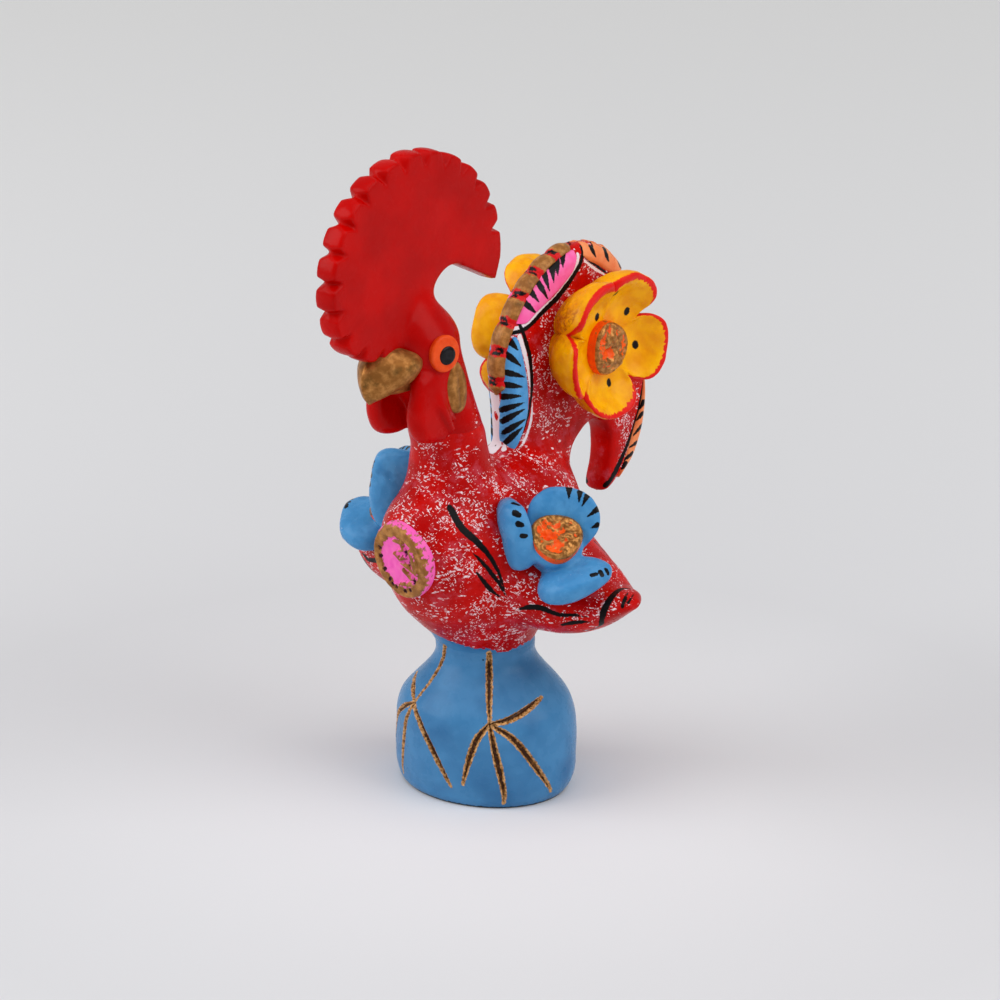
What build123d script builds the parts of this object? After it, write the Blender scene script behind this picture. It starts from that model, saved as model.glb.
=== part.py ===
from build123d import *
import math
import os

# Painted rooster figure on a bell-shaped foot. Millimetres.
# The rooster faces -Y, +X is its left side, +Z is up.
# The origin is the centre of the foot's underside, on the surface it stands on.

# Foot: a bell that narrows to the waist
base_height = 25.6
base_half_width = 17.0
base_half_depth = 15.8
waist_radius = 8.8

# Torso: chest in front, back behind, from the waist up to the ridge
torso_height = 37.0
torso_half_width = 15.2
chest_reach = 23.7
back_reach = 22.0

# Neck and head: one tapering column that leans forward, seated part way up the torso
neck_seat_share = 0.7676
neck_head_height = 39.6
neck_half_width = 9.3
neck_half_depth = 9.6
head_reach = 16.4

# Comb: a round toothed plate over the head
comb_forward_share = 1.189
comb_centre_share = 1.1465
comb_half_length = 21.9
comb_half_height = 20.6
comb_thickness = 4.3
comb_tooth_depth = 1.7
comb_tooth_pitch = 15.0
comb_tooth_count = 17
comb_first_notch = -5.0
comb_pull_start = 200.0
comb_pull_spread = 50.0
comb_pull_share = 0.2
comb_scoop_back_share = 0.42
comb_scoop_drop_share = 0.2767
comb_scoop_radius = 4.7
comb_tip_drop_share = 0.2913
comb_scoop_mouth_angle = 65.0
comb_heel_share = 0.6
comb_root_share = 0.793

# Tail fan: a flat plate that rises, arches back and curls down to a hook
tail_front = 2.4
tail_length = 41.4
tail_foot_share = 0.573
tail_height = 49.0
tail_thickness = 5.8
tail_edge_rounding = 0.8

# Wings: rounded lobes that reach out sideways
wing_root = 6.0
wing_reach = 31.8
wing_half_chord = 14.5
wing_half_height = 10.5
wing_centre_back = 3.0
wing_centre_share = 0.4
wing_rise = 4.2

# Beak: a blunt wedge with a thin lower bill
beak_root_share = 0.354
beak_length = 12.8
beak_half_width = 6.1
beak_half_height = 4.3
beak_height_share = 0.7298
beak_droop = 3.0
bill_length = 7.7
bill_half_width = 4.6
bill_half_height = 1.5
bill_height_share = 0.6212

# Wattles: two flaps under the beak
wattle_offset = 3.9
wattle_thickness = 3.4
wattle_front_share = 1.0625
wattle_length = 13.0
wattle_bottom_share = 0.3838
wattle_height = 11.4

# Eyes and ear lobes: discs and leaves in shallow pockets on the head
eye_forward_share = 1.0732
eye_height_share = 0.793
eye_width_share = 0.7527
eye_turn = 11.0
eye_ring_radius = 3.55
eye_ring_thickness = 1.7
pupil_radius = 1.75
pupil_thickness = 1.3
pupil_stand = 0.3
lobe_forward_share = 0.8902
lobe_height_share = 0.6111
lobe_width_share = 0.7634
lobe_half_length = 4.9
lobe_half_width = 2.8
lobe_thickness = 1.6
lobe_lean = 13.0

# Chest medallion: a thick disc that faces forward and a little down
medallion_radius = 7.4
medallion_thickness = 3.0
medallion_stand = 1.0
medallion_height_share = 0.6108
medallion_tilt = 12.0
medallion_reach_share = 0.955

# Wing flower: three thick petals round a hub
wing_flower_place_share = 0.3915
wing_flower_front_share = 0.3414
wing_flower_rise_share = 0.5429
wing_flower_lean = 40.0
wing_flower_yaw = 33.0
wing_petal_length = 13.0
wing_hub_radius = 4.8
wing_hub_height = 5.6
wing_centre_radius = 4.6
wing_centre_thickness = 1.6

# Tail flower: a moulded bowl of five petals round a centre
tail_flower_place_share = (0.521, 0.6245)
tail_flower_radius = 14.4
tail_flower_height = 8.9
tail_centre_radius = 5.2
tail_centre_height = 6.4
right_tail_flower_turn = 100.0

# Feather pads: raised leaves let into both faces of the tail
pad_stand = 0.7
pad_seat_depth = 0.8

# How the pieces are joined
fit_gap = 0.15
spigot_radius = 4.2
spigot_length = 8.0
comb_tongue_thickness = 2.4
comb_tongue_gap = 0.1
tongue_front_share = 0.35
tongue_back_share = 0.05
dowel_radius = 3.0
dowel_length = 7.0

# Torso rings: height, half width, reach in front and reach behind, above the waist ring
torso_ring_shares = [
    (0.08, 0.61, 0.42, 0.44),
    (0.17, 0.74, 0.56, 0.58),
    (0.28, 0.90, 0.73, 0.74),
    (0.40, 0.99, 0.84, 0.87),
    (0.53, 1.00, 0.91, 0.97),
    (0.66, 0.92, 0.97, 1.00),
    (0.77, 0.77, 1.00, 0.98),
    (0.87, 0.60, 0.88, 0.93),
    (0.95, 0.38, 0.76, 0.83),
    (1.00, 0.18, 0.60, 0.62),
]
# Foot rings: height and how far the bell has opened from the waist to its widest
base_ring_shares = [
    (0.00, 0.86),
    (0.10, 0.92),
    (0.25, 0.98),
    (0.42, 1.00),
    (0.56, 0.95),
    (0.66, 0.81),
    (0.75, 0.57),
    (0.83, 0.31),
    (0.92, 0.08),
    (1.00, 0.00),
]
# Neck and head rings: height, half width, centre forward and half depth
neck_ring_shares = [
    (0.00, 1.00, 0.56, 1.00),
    (0.09, 0.90, 0.55, 0.87),
    (0.22, 0.785, 0.57, 0.76),
    (0.30, 0.73, 0.60, 0.70),
    (0.41, 0.71, 0.68, 0.69),
    (0.51, 0.71, 0.75, 0.70),
    (0.61, 0.72, 0.84, 0.75),
    (0.71, 0.735, 0.94, 0.82),
    (0.80, 0.72, 1.00, 0.87),
    (0.88, 0.62, 1.04, 0.80),
    (0.945, 0.46, 1.08, 0.62),
    (1.00, 0.25, 1.12, 0.36),
]
# Wing sections: place along the reach, half chord, half height and rise
wing_section_shares = [
    (0.00, 1.00, 1.00, 1.00),
    (0.28, 0.91, 0.89, 0.18),
    (0.55, 0.74, 0.62, -0.35),
    (0.77, 0.51, 0.35, -0.50),
    (0.92, 0.30, 0.18, -0.22),
    (1.00, 0.11, 0.07, -0.14),
]
# Beak sections: place along the reach, half width, half height and droop
beak_section_shares = [
    (0.00, 1.00, 0.86, 0.00),
    (0.30, 0.92, 1.00, 0.05),
    (0.60, 0.76, 0.98, 0.25),
    (0.85, 0.52, 0.80, 0.60),
    (1.00, 0.20, 0.40, 1.00),
]
# Lower bill sections: place along the reach and size
bill_section_shares = [
    (0.00, 1.00),
    (0.50, 0.85),
    (0.85, 0.50),
    (1.00, 0.20),
]
# Tail outline, from the foot's front edge over the top, round the hook's tip and up the gap
tail_outline_shares = [
    (0.00, 0.00),
    (0.00, 0.20),
    (0.00, 0.40),
    (-0.01, 0.55),
    (0.03, 0.69),
    (0.12, 0.82),
    (0.28, 0.93),
    (0.47, 0.985),
    (0.66, 0.965),
    (0.83, 0.86),
    (0.95, 0.68),
    (1.00, 0.42),
    (0.957, 0.19),
    (0.89, 0.09),
    (0.80, 0.03),
    (0.72, 0.00),
    (0.69, 0.03),
    (0.71, 0.105),
    (0.725, 0.19),
    (0.703, 0.265),
    (0.633, 0.303),
    (0.545, 0.28),
    (0.48, 0.215),
]
# Rear edge of the tail's tenon, going down: shares of the torso's back and of the tail's height
tail_root_shares = [
    (0.945, 0.14),
    (0.93, 0.06),
    (0.915, 0.00),
]
# Wattle outline, from its top front corner down and round to the back
wattle_outline_shares = [
    (0.02, 0.98),
    (0.00, 0.70),
    (0.06, 0.35),
    (0.24, 0.06),
    (0.50, 0.00),
    (0.82, 0.10),
    (1.00, 0.30),
    (0.92, 0.62),
    (0.70, 1.00),
]
# Feather pad outlines, as shares of the tail's length and height
pad_outline_shares = {
    "blue": [(0.03, 0.60), (0.05, 0.68), (0.09, 0.71), (0.13, 0.70), (0.16, 0.64),
             (0.175, 0.55), (0.17, 0.46), (0.14, 0.37), (0.09, 0.32), (0.04, 0.35),
             (0.03, 0.44), (0.03, 0.52)],
    "pink": [(0.08, 0.74), (0.11, 0.78), (0.17, 0.84), (0.26, 0.89), (0.34, 0.93),
             (0.42, 0.955), (0.45, 0.92), (0.40, 0.87), (0.30, 0.82), (0.20, 0.77),
             (0.13, 0.735), (0.09, 0.72)],
    "orange_top": [(0.50, 0.955), (0.58, 0.95), (0.66, 0.92), (0.74, 0.87),
                   (0.79, 0.81), (0.73, 0.81), (0.64, 0.85), (0.54, 0.90)],
    "orange_back": [(0.96, 0.48), (0.97, 0.38), (0.935, 0.26), (0.87, 0.14), (0.78, 0.06),
                    (0.75, 0.06), (0.82, 0.15), (0.87, 0.26), (0.91, 0.38)],
}
# Wing petals: root, way to the rim and inner side in the flower's own frame; then the length,
# width, thickness, rise at the sides and rise at the rim, all as shares of the petal length
wing_petal_shares = [
    (
        (0.441, -0.090, 0.017),
        (-0.131, -0.721, 0.680),
        (-0.935, 0.318, 0.157),
        (0.969, 0.769, 0.338, 0.092, 0.062),
    ),
    (
        (-0.025, 0.127, 0.194),
        (-0.575, -0.633, 0.519),
        (0.477, 0.256, 0.841),
        (0.892, 1.000, 0.246, 0.154, 0.092),
    ),
    (
        (0.417, 0.284, 0.038),
        (-0.658, 0.553, 0.511),
        (0.091, -0.616, 0.783),
        (1.062, 0.877, 0.415, 0.031, 0.046),
    ),
]
# Squareness of each wing petal's outline, and how much it narrows at its root and its tip
wing_petal_outline_shares = [
    (3.2, 0.28, 0.00),
    (2.3, 0.28, 0.00),
    (2.5, 0.05, 0.55),
]
wing_petal_root_end_share = 0.1
wing_petal_tip_start_share = -0.3
wing_petal_tip_thinning_share = 0.6
wing_petal_section_shares = [-0.98, -0.85, -0.50, 0.00, 0.50, 0.80, 0.95]
# Tail petals: the angle and radius where each meets the one before it, and its own radius
tail_petal_shares = [
    (28.0, 0.667, 1.000),
    (94.0, 0.854, 0.958),
    (157.0, 0.819, 0.917),
    (226.0, 0.694, 0.889),
    (313.0, 0.690, 0.965),
]
tail_petal_lobe_power = 3.5
tail_petal_corner_shares = [-1.0, -0.8, -0.5, 0.0, 0.5, 0.8, 1.0]
# Tail petals' outer wall: height and radius
tail_petal_wall_shares = [
    (0.00, 0.74),
    (0.25, 0.87),
    (0.57, 0.97),
    (0.82, 1.00),
    (1.00, 0.985),
]
# Bowl inside the tail flower: radius and height
tail_bowl_shares = [
    (0.00, 0.51),
    (0.36, 0.52),
    (0.555, 0.61),
    (0.695, 0.75),
    (0.79, 0.91),
    (0.845, 1.00),
]
tail_bowl_clear_share = 1.3

ring_point_count = 12

# Places that follow from the sizes above
neck_seat_height = base_height + torso_height * neck_seat_share
comb_centre_forward = head_reach * comb_forward_share
comb_centre_height = neck_seat_height + neck_head_height * comb_centre_share
comb_root_height = neck_seat_height + neck_head_height * comb_root_share
comb_tip_height = comb_centre_height - comb_half_height * comb_tip_drop_share
comb_scoop_forward = comb_centre_forward - comb_half_length * comb_scoop_back_share
comb_scoop_height = comb_centre_height - comb_half_height * comb_scoop_drop_share
tail_foot_height = base_height + torso_height * tail_foot_share
wing_centre_height = base_height + torso_height * wing_centre_share
beak_root_forward = head_reach + neck_half_depth * beak_root_share
beak_height = neck_seat_height + neck_head_height * beak_height_share
bill_height = neck_seat_height + neck_head_height * bill_height_share
wattle_front = head_reach + neck_half_depth * wattle_front_share
wattle_bottom = neck_seat_height + neck_head_height * wattle_bottom_share
eye_forward = head_reach * eye_forward_share
eye_height = neck_seat_height + neck_head_height * eye_height_share
eye_face_offset = neck_half_width * eye_width_share
lobe_forward = head_reach * lobe_forward_share
lobe_height = neck_seat_height + neck_head_height * lobe_height_share
lobe_face_offset = neck_half_width * lobe_width_share
medallion_height = base_height + torso_height * medallion_height_share


def ring(half_width, half_depth, centre_y, height):
    """A level, closed, oval outline as a face."""
    points = []
    for step in range(ring_point_count):
        angle = 2 * math.pi * step / ring_point_count
        x = half_width * math.cos(angle)
        y = centre_y + half_depth * math.sin(angle)
        points.append((x, y, height))
    return make_face(Spline(*points, periodic=True))


def upright_ring_across(half_length, half_height, centre, offset, axis):
    """A closed oval outline in an upright plane; axis says which way the plane faces."""
    points = []
    for step in range(ring_point_count):
        angle = 2 * math.pi * step / ring_point_count
        along = centre[0] + half_length * math.cos(angle)
        up = centre[1] + half_height * math.sin(angle)
        if axis == "x":
            points.append((offset, along, up))
        else:
            points.append((along, offset, up))
    return make_face(Spline(*points, periodic=True))


def side_plate(outline, offset, thickness):
    """Extrude an outline drawn in the side view, centred on X = offset."""
    plane = Plane(origin=(offset - thickness / 2, 0, 0), x_dir=(0, 1, 0), z_dir=(1, 0, 0))
    return extrude(plane * outline, amount=thickness)


def mirrored(solid):
    """The same piece on the rooster's right side."""
    return mirror(solid, about=Plane.YZ)


def largest_solid(shape):
    """The main body that is left after a cut."""
    return max(shape.solids(), key=lambda solid: solid.volume)


def rod(start, end, radius):
    """A round rod between two points."""
    axis = Vector(*end) - Vector(*start)
    return extrude(Plane(origin=start, z_dir=axis) * Circle(radius), amount=axis.length)


# Foot
def make_base():
    sections = []
    for height_share, open_share in base_ring_shares:
        half_width = waist_radius + (base_half_width - waist_radius) * open_share
        half_depth = waist_radius + (base_half_depth - waist_radius) * open_share
        sections.append(ring(half_width, half_depth, 0, base_height * height_share))
    socket_depth = spigot_length + fit_gap
    socket = rod(
        (0, 0, base_height - socket_depth),
        (0, 0, base_height),
        spigot_radius + fit_gap,
    )
    return loft(sections) - socket


# Torso
def torso_blank():
    sections = [ring(waist_radius, waist_radius, 0, base_height)]
    for height_share, width_share, front_share, back_share in torso_ring_shares:
        front = -chest_reach * front_share
        back = back_reach * back_share
        sections.append(
            ring(
                torso_half_width * width_share,
                (back - front) / 2,
                (front + back) / 2,
                base_height + torso_height * height_share,
            )
        )
    return loft(sections)


def waist_spigot():
    return rod((0, 0, base_height - spigot_length), (0, 0, base_height), spigot_radius)


# Neck and head
def neck_head_blank():
    sections = []
    for height_share, width_share, forward_share, depth_share in neck_ring_shares:
        sections.append(
            ring(
                neck_half_width * width_share,
                neck_half_depth * depth_share,
                -head_reach * forward_share,
                neck_seat_height + neck_head_height * height_share,
            )
        )
    return loft(sections)


def neck_spigot(extra):
    """The peg under the neck; extra widens and deepens it into its socket."""
    centre_y = -head_reach * neck_ring_shares[0][2]
    bottom = neck_seat_height - spigot_length - extra
    top = base_height + torso_height
    return rod((0, centre_y, bottom), (0, centre_y, top), spigot_radius + extra)


# Comb
def comb_point(angle, depth):
    """A point of the crest at an angle from the back, lower towards the beak."""
    past_front = (angle - comb_pull_start) / comb_pull_spread
    pull = comb_pull_share * eased(past_front)
    radius_share = (1 - pull) * (1 - depth / comb_half_length)
    turn = math.radians(angle)
    y = -comb_centre_forward + comb_half_length * radius_share * math.cos(turn)
    z = comb_centre_height + comb_half_height * radius_share * math.sin(turn)
    return (y, z)


def comb_blank():
    edges = []
    for tooth in range(comb_tooth_count):
        start = comb_first_notch + tooth * comb_tooth_pitch
        low = comb_point(start, comb_tooth_depth)
        crest = comb_point(start + comb_tooth_pitch / 2, 0)
        high = comb_point(start + comb_tooth_pitch, comb_tooth_depth)
        edges.append(ThreePointArc(low, crest, high))
    beak_corner = edges[-1] @ 1
    tip_top = edges[0] @ 0
    scoop_y = -comb_scoop_forward
    scoop_left = (scoop_y - comb_scoop_radius, comb_scoop_height)
    scoop_slope = math.radians(comb_scoop_mouth_angle)
    scoop_mid_turn = (math.pi + scoop_slope) / 2
    scoop_end = (
        scoop_y + comb_scoop_radius * math.cos(scoop_slope),
        comb_scoop_height + comb_scoop_radius * math.sin(scoop_slope),
    )
    scoop_mid = (
        scoop_y + comb_scoop_radius * math.cos(scoop_mid_turn),
        comb_scoop_height + comb_scoop_radius * math.sin(scoop_mid_turn),
    )
    tip = (tip_top.X - comb_tooth_depth, comb_tip_height)
    head_front = (-head_reach - neck_half_depth * comb_heel_share, comb_root_height)
    head_back = (scoop_left[0], comb_root_height)
    edges.append(Line(beak_corner, head_front))
    edges.append(Line(head_front, head_back))
    edges.append(Line(head_back, scoop_left))
    edges.append(ThreePointArc(scoop_left, scoop_mid, scoop_end))
    edges.append(Line(scoop_end, tip))
    edges.append(Line(tip, tip_top))
    return side_plate(make_face(Wire(edges)), 0, comb_thickness)


def comb_tongue(extra):
    """The tongue under the comb that goes down into the head."""
    front = -head_reach - neck_half_depth * tongue_front_share - extra
    back = -head_reach + neck_half_depth * tongue_back_share + extra
    bottom = comb_root_height - extra
    top = neck_seat_height + neck_head_height
    centre = (0, (front + back) / 2, (bottom + top) / 2)
    size = (comb_tongue_thickness + 2 * extra, back - front, top - bottom)
    return Pos(*centre) * Box(*size)


# Tail
def tail_point(share):
    return (tail_front + tail_length * share[0], tail_foot_height + tail_height * share[1])


def tail_blank():
    """The tail plate, with its long curved edges rounded on both faces."""
    points = [tail_point(share) for share in tail_outline_shares]
    for back_share, up_share in tail_root_shares:
        points.append((back_reach * back_share, tail_foot_height + tail_height * up_share))
    curve = Spline(*points)
    outline = Wire([curve, Line(curve @ 1, curve @ 0)])
    plate = side_plate(make_face(outline), 0, tail_thickness)
    curved = [edge for edge in plate.edges() if edge.geom_type == GeomType.BSPLINE]
    return fillet(curved, radius=tail_edge_rounding)


def pad_blank(name, side):
    """One raised feather leaf on the tail's face; side is 1 on the left."""
    points = [tail_point(share) for share in pad_outline_shares[name]]
    face_x = tail_thickness / 2
    outline = make_face(Spline(*points, periodic=True))
    middle = side * (face_x + (pad_stand - pad_seat_depth) / 2)
    return side_plate(outline, middle, pad_stand + pad_seat_depth)


# Wings
def wing_blank():
    sections = []
    for place_share, chord_share, height_share, rise_share in wing_section_shares:
        centre = (wing_centre_back, wing_centre_height + wing_rise * rise_share)
        sections.append(
            upright_ring_across(
                wing_half_chord * chord_share,
                wing_half_height * height_share,
                centre,
                wing_root + (wing_reach - wing_root) * place_share,
                "x",
            )
        )
    return loft(sections)


def wing_dowel(extra):
    """The dowel from the wing into the torso."""
    height = wing_centre_height + wing_rise
    outer = torso_half_width + dowel_radius
    inner = outer - dowel_radius - dowel_length - extra
    return rod(
        (inner, wing_centre_back, height),
        (outer, wing_centre_back, height),
        dowel_radius + extra,
    )


# Beak and wattles
def beak_blank():
    sections = []
    for place_share, width_share, height_share, droop_share in beak_section_shares:
        forward = beak_root_forward + beak_length * place_share
        centre = (0, beak_height - beak_droop * droop_share)
        sections.append(
            upright_ring_across(
                beak_half_width * width_share,
                beak_half_height * height_share,
                centre,
                -forward,
                "y",
            )
        )
    return loft(sections)


def bill_blank():
    sections = []
    for place_share, size_share in bill_section_shares:
        forward = beak_root_forward + bill_length * place_share
        sections.append(
            upright_ring_across(
                bill_half_width * size_share,
                bill_half_height * size_share,
                (0, bill_height),
                -forward,
                "y",
            )
        )
    return loft(sections)


def wattle_blank():
    points = []
    for along_share, up_share in wattle_outline_shares:
        y = -wattle_front + wattle_length * along_share
        points.append((y, wattle_bottom + wattle_height * up_share))
    outline = make_face(Spline(*points, periodic=True))
    return side_plate(outline, wattle_offset, wattle_thickness)


# Eyes, ear lobes and medallion
def eye_plane(depth):
    """The plane of the left eye's face, moved inwards by depth."""
    turn = math.radians(eye_turn)
    outward = Vector(math.cos(turn), -math.sin(turn), 0)
    face = Vector(eye_face_offset, -eye_forward, eye_height) - outward * depth
    return Plane(origin=face, z_dir=outward)


def eye_disc(radius, near, far):
    """A disc along the eye's axis between two depths below its face."""
    return extrude(eye_plane(far) * Circle(radius), amount=far - near)


def lobe_blank(extra):
    plane = Plane(
        origin=(lobe_face_offset - lobe_thickness, -lobe_forward, lobe_height),
        x_dir=(0, 1, 0),
        z_dir=(1, 0, 0),
    )
    leaf = Ellipse(lobe_half_length + extra, lobe_half_width + extra)
    return extrude(plane * Rot(0, 0, 90 + lobe_lean) * leaf, amount=lobe_thickness)


def medallion_blank(extra):
    """The round plaque; its back is flat, in a pocket of the chest."""
    tilt = math.radians(medallion_tilt)
    outward = Vector(0, -math.cos(tilt), -math.sin(tilt))
    chest = Vector(0, -chest_reach * medallion_reach_share, medallion_height)
    face = chest + outward * medallion_stand
    back = face - outward * medallion_thickness
    plane = Plane(origin=back, x_dir=(1, 0, 0), z_dir=outward)
    return extrude(plane * Circle(medallion_radius + extra), amount=medallion_thickness)


# Flowers
def eased(share):
    """0 to 1 as an even S-curve, held at both ends."""
    held = min(max(share, 0), 1)
    return held * held * (3 - 2 * held)


def thick_petal(sizes, outline_shares):
    """A thick petal along +X with its root at the origin: squarish oval sections, bent up all round."""
    length, width, thickness, side_rise, rim_rise = sizes
    squareness, root_narrowing, tip_narrowing = outline_shares
    sections = []
    for along in wing_petal_section_shares:
        size = (1 - abs(along) ** squareness) ** (1 / squareness)
        at_tip = eased((along - wing_petal_tip_start_share) / (1 - wing_petal_tip_start_share))
        at_root = eased((wing_petal_root_end_share - along) / (wing_petal_root_end_share + 1))
        narrow = (1 - root_narrowing * at_root) * (1 - tip_narrowing * at_tip)
        thin = 1 - wing_petal_tip_thinning_share * tip_narrowing * at_tip
        points = []
        for step in range(ring_point_count):
            angle = 2 * math.pi * step / ring_point_count
            across = math.cos(angle)
            up = math.sin(angle)
            bulge = (abs(across) ** squareness + abs(up) ** squareness) ** (1 / squareness)
            across = across / bulge * size
            y = width / 2 * across * narrow
            z = thickness / 2 * up / bulge * size * thin
            z = z + side_rise * across * across + rim_rise * (along + 1) ** 2 / 4
            points.append((length / 2 * (1 + along), y, z))
        sections.append(make_face(Spline(*points, periodic=True)))
    return loft(sections)


def tail_petal_outline(number, scale, height, turn):
    """A level wedge from the flower's axis out to the petal's lobed rim."""
    count = len(tail_petal_shares)
    start_angle, start_share, radius_share = tail_petal_shares[number]
    end_angle, end_share, _ = tail_petal_shares[(number + 1) % count]
    spread = (end_angle - start_angle) % 360 / 2
    points = []
    for corner in tail_petal_corner_shares:
        edge_share = start_share if corner < 0 else end_share
        share = radius_share - (radius_share - edge_share) * abs(corner) ** tail_petal_lobe_power
        angle = math.radians(start_angle + turn + spread * (1 + corner))
        radius = tail_flower_radius * share * scale
        points.append((radius * math.cos(angle), radius * math.sin(angle), height))
    axis_point = (0, 0, height)
    edges = [Spline(*points), Line(points[-1], axis_point), Line(axis_point, points[0])]
    return make_face(edges)


def tail_flower(turn):
    """Petals and centre of the left tail flower, in place."""
    flower_y, flower_z = tail_point(tail_flower_place_share)
    plane = Plane(
        origin=(tail_thickness / 2, flower_y, flower_z),
        x_dir=(0, 1, 0),
        z_dir=(1, 0, 0),
    )
    bowl_points = []
    for radius_share, height_share in tail_bowl_shares:
        bowl_points.append((tail_flower_radius * radius_share, tail_flower_height * height_share))
    clear = tail_flower_height * tail_bowl_clear_share
    bowl_points.append((bowl_points[-1][0], clear))
    bowl_points.append((0, clear))
    bowl = revolve(Plane.XZ * make_face(Polyline(*bowl_points, close=True)), axis=Axis.Z)
    centre = extrude(Circle(tail_centre_radius), amount=tail_centre_height)
    pieces = {}
    for number in range(len(tail_petal_shares)):
        sections = []
        for height_share, scale in tail_petal_wall_shares:
            sections.append(
                tail_petal_outline(number, scale, tail_flower_height * height_share, turn)
            )
        petal = largest_solid(loft(sections) - bowl - centre)
        pieces[f"petal_{number + 1}"] = plane * petal
    pieces["centre"] = plane * centre
    return pieces


def wing_flower_plane():
    lean = math.radians(wing_flower_lean)
    yaw = math.radians(wing_flower_yaw)
    axis = Vector(
        math.sin(lean) * math.cos(yaw),
        -math.sin(lean) * math.sin(yaw),
        math.cos(lean),
    )
    origin = (
        wing_root + (wing_reach - wing_root) * wing_flower_place_share,
        wing_centre_back - wing_half_chord * wing_flower_front_share,
        wing_centre_height + wing_half_height * wing_flower_rise_share,
    )
    return Plane(origin=origin, x_dir=(0, -1, 0), z_dir=axis)


def wing_flower():
    """Petals, hub and centre of the left wing flower, in place."""
    plane = wing_flower_plane()
    hub = extrude(Circle(wing_hub_radius), amount=wing_hub_height)
    disc = Pos(0, 0, wing_hub_height) * extrude(
        Circle(wing_centre_radius), amount=wing_centre_thickness
    )
    pieces = {}
    earlier = [hub, disc]
    for number, petal_shares in enumerate(wing_petal_shares):
        root_share, rim_way, inner_side, size_shares = petal_shares
        root = Vector(*root_share) * wing_petal_length
        sizes = [wing_petal_length * share for share in size_shares]
        blank = thick_petal(sizes, wing_petal_outline_shares[number])
        board = Plane(origin=root, x_dir=rim_way, z_dir=inner_side)
        petal = cut_away(board * blank, earlier)
        earlier.append(petal)
        pieces[f"petal_{number + 1}"] = plane * petal
    pieces["hub"] = plane * hub
    pieces["centre"] = plane * disc
    return pieces


def cut_away(piece, cutters):
    """A piece with every cutter taken off; the main body is kept."""
    for cutter in cutters:
        piece = piece - cutter
    return largest_solid(piece)


def add_pair(nodes, name, piece, cutters):
    """Name a piece on the left and its twin on the right, each cut where it sits."""
    nodes[f"left_{name}"] = cut_away(piece, cutters)
    nodes[f"right_{name}"] = cut_away(mirrored(piece), cutters)


def build():
    """Cut every piece against what carries it and give each its name."""
    nodes = {}
    torso_raw = torso_blank()
    head_raw = neck_head_blank()
    comb_raw = comb_blank()
    beak_raw = beak_blank()
    bill_raw = bill_blank()

    nodes["base"] = make_base()

    add_pair(nodes, "wing", wing_blank(), [torso_raw])
    nodes["left_wing"] = nodes["left_wing"] + wing_dowel(0)
    nodes["right_wing"] = nodes["right_wing"] + mirrored(wing_dowel(0))

    nodes["comb"] = cut_away(comb_raw, [head_raw]) + comb_tongue(0)

    lobe_pocket = lobe_blank(fit_gap)
    eye_pocket = eye_disc(eye_ring_radius + fit_gap, 0, eye_ring_thickness)
    face_pockets = [eye_pocket, mirrored(eye_pocket), lobe_pocket, mirrored(lobe_pocket)]
    neck_solid = cut_away(head_raw, [torso_raw]) + (neck_spigot(0) & torso_raw)
    nodes["neck_head"] = cut_away(neck_solid, face_pockets + [comb_tongue(comb_tongue_gap)])

    pupil = eye_disc(pupil_radius, -pupil_stand, pupil_thickness - pupil_stand)
    ring_disc = eye_disc(eye_ring_radius, 0, eye_ring_thickness)
    add_pair(nodes, "pupil", pupil, [])
    add_pair(nodes, "eye_ring", ring_disc, [pupil, mirrored(pupil)])
    add_pair(nodes, "ear_lobe", lobe_blank(0), face_pockets[:2])

    nodes["beak_upper"] = cut_away(beak_raw, [head_raw, comb_raw] + face_pockets)
    nodes["beak_lower"] = cut_away(bill_raw, [head_raw, beak_raw])
    add_pair(nodes, "wattle", wattle_blank(), [head_raw, beak_raw, bill_raw] + face_pockets)

    tail_plate = tail_blank()
    pads = []
    for name in pad_outline_shares:
        for side_name, side in (("left", 1), ("right", -1)):
            pad = cut_away(pad_blank(name, side), [torso_raw])
            nodes[f"{side_name}_{name}_feathers"] = pad
            pads.append(pad)
    nodes["tail_fan"] = cut_away(tail_plate, pads)

    nodes["chest_medallion"] = medallion_blank(0)
    sockets = [
        tail_plate,
        medallion_blank(fit_gap),
        neck_spigot(fit_gap),
        wing_dowel(fit_gap),
        mirrored(wing_dowel(fit_gap)),
    ]
    nodes["torso"] = cut_away(torso_raw + waist_spigot(), sockets)

    for name, piece in tail_flower(0).items():
        nodes[f"left_tail_flower_{name}"] = piece
    for name, piece in tail_flower(right_tail_flower_turn).items():
        nodes[f"right_tail_flower_{name}"] = mirrored(piece)
    carriers = [nodes["left_wing"], nodes["right_wing"], torso_raw]
    for name, piece in wing_flower().items():
        add_pair(nodes, f"wing_flower_{name}", piece, carriers)
    return nodes


os.makedirs("parts", exist_ok=True)
for node_name, solid in build().items():
    export_step(solid, f"parts/{node_name}.step")
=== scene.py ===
import math

import bpy
import numpy as np
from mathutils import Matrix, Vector
from mathutils.bvhtree import BVHTree


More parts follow.
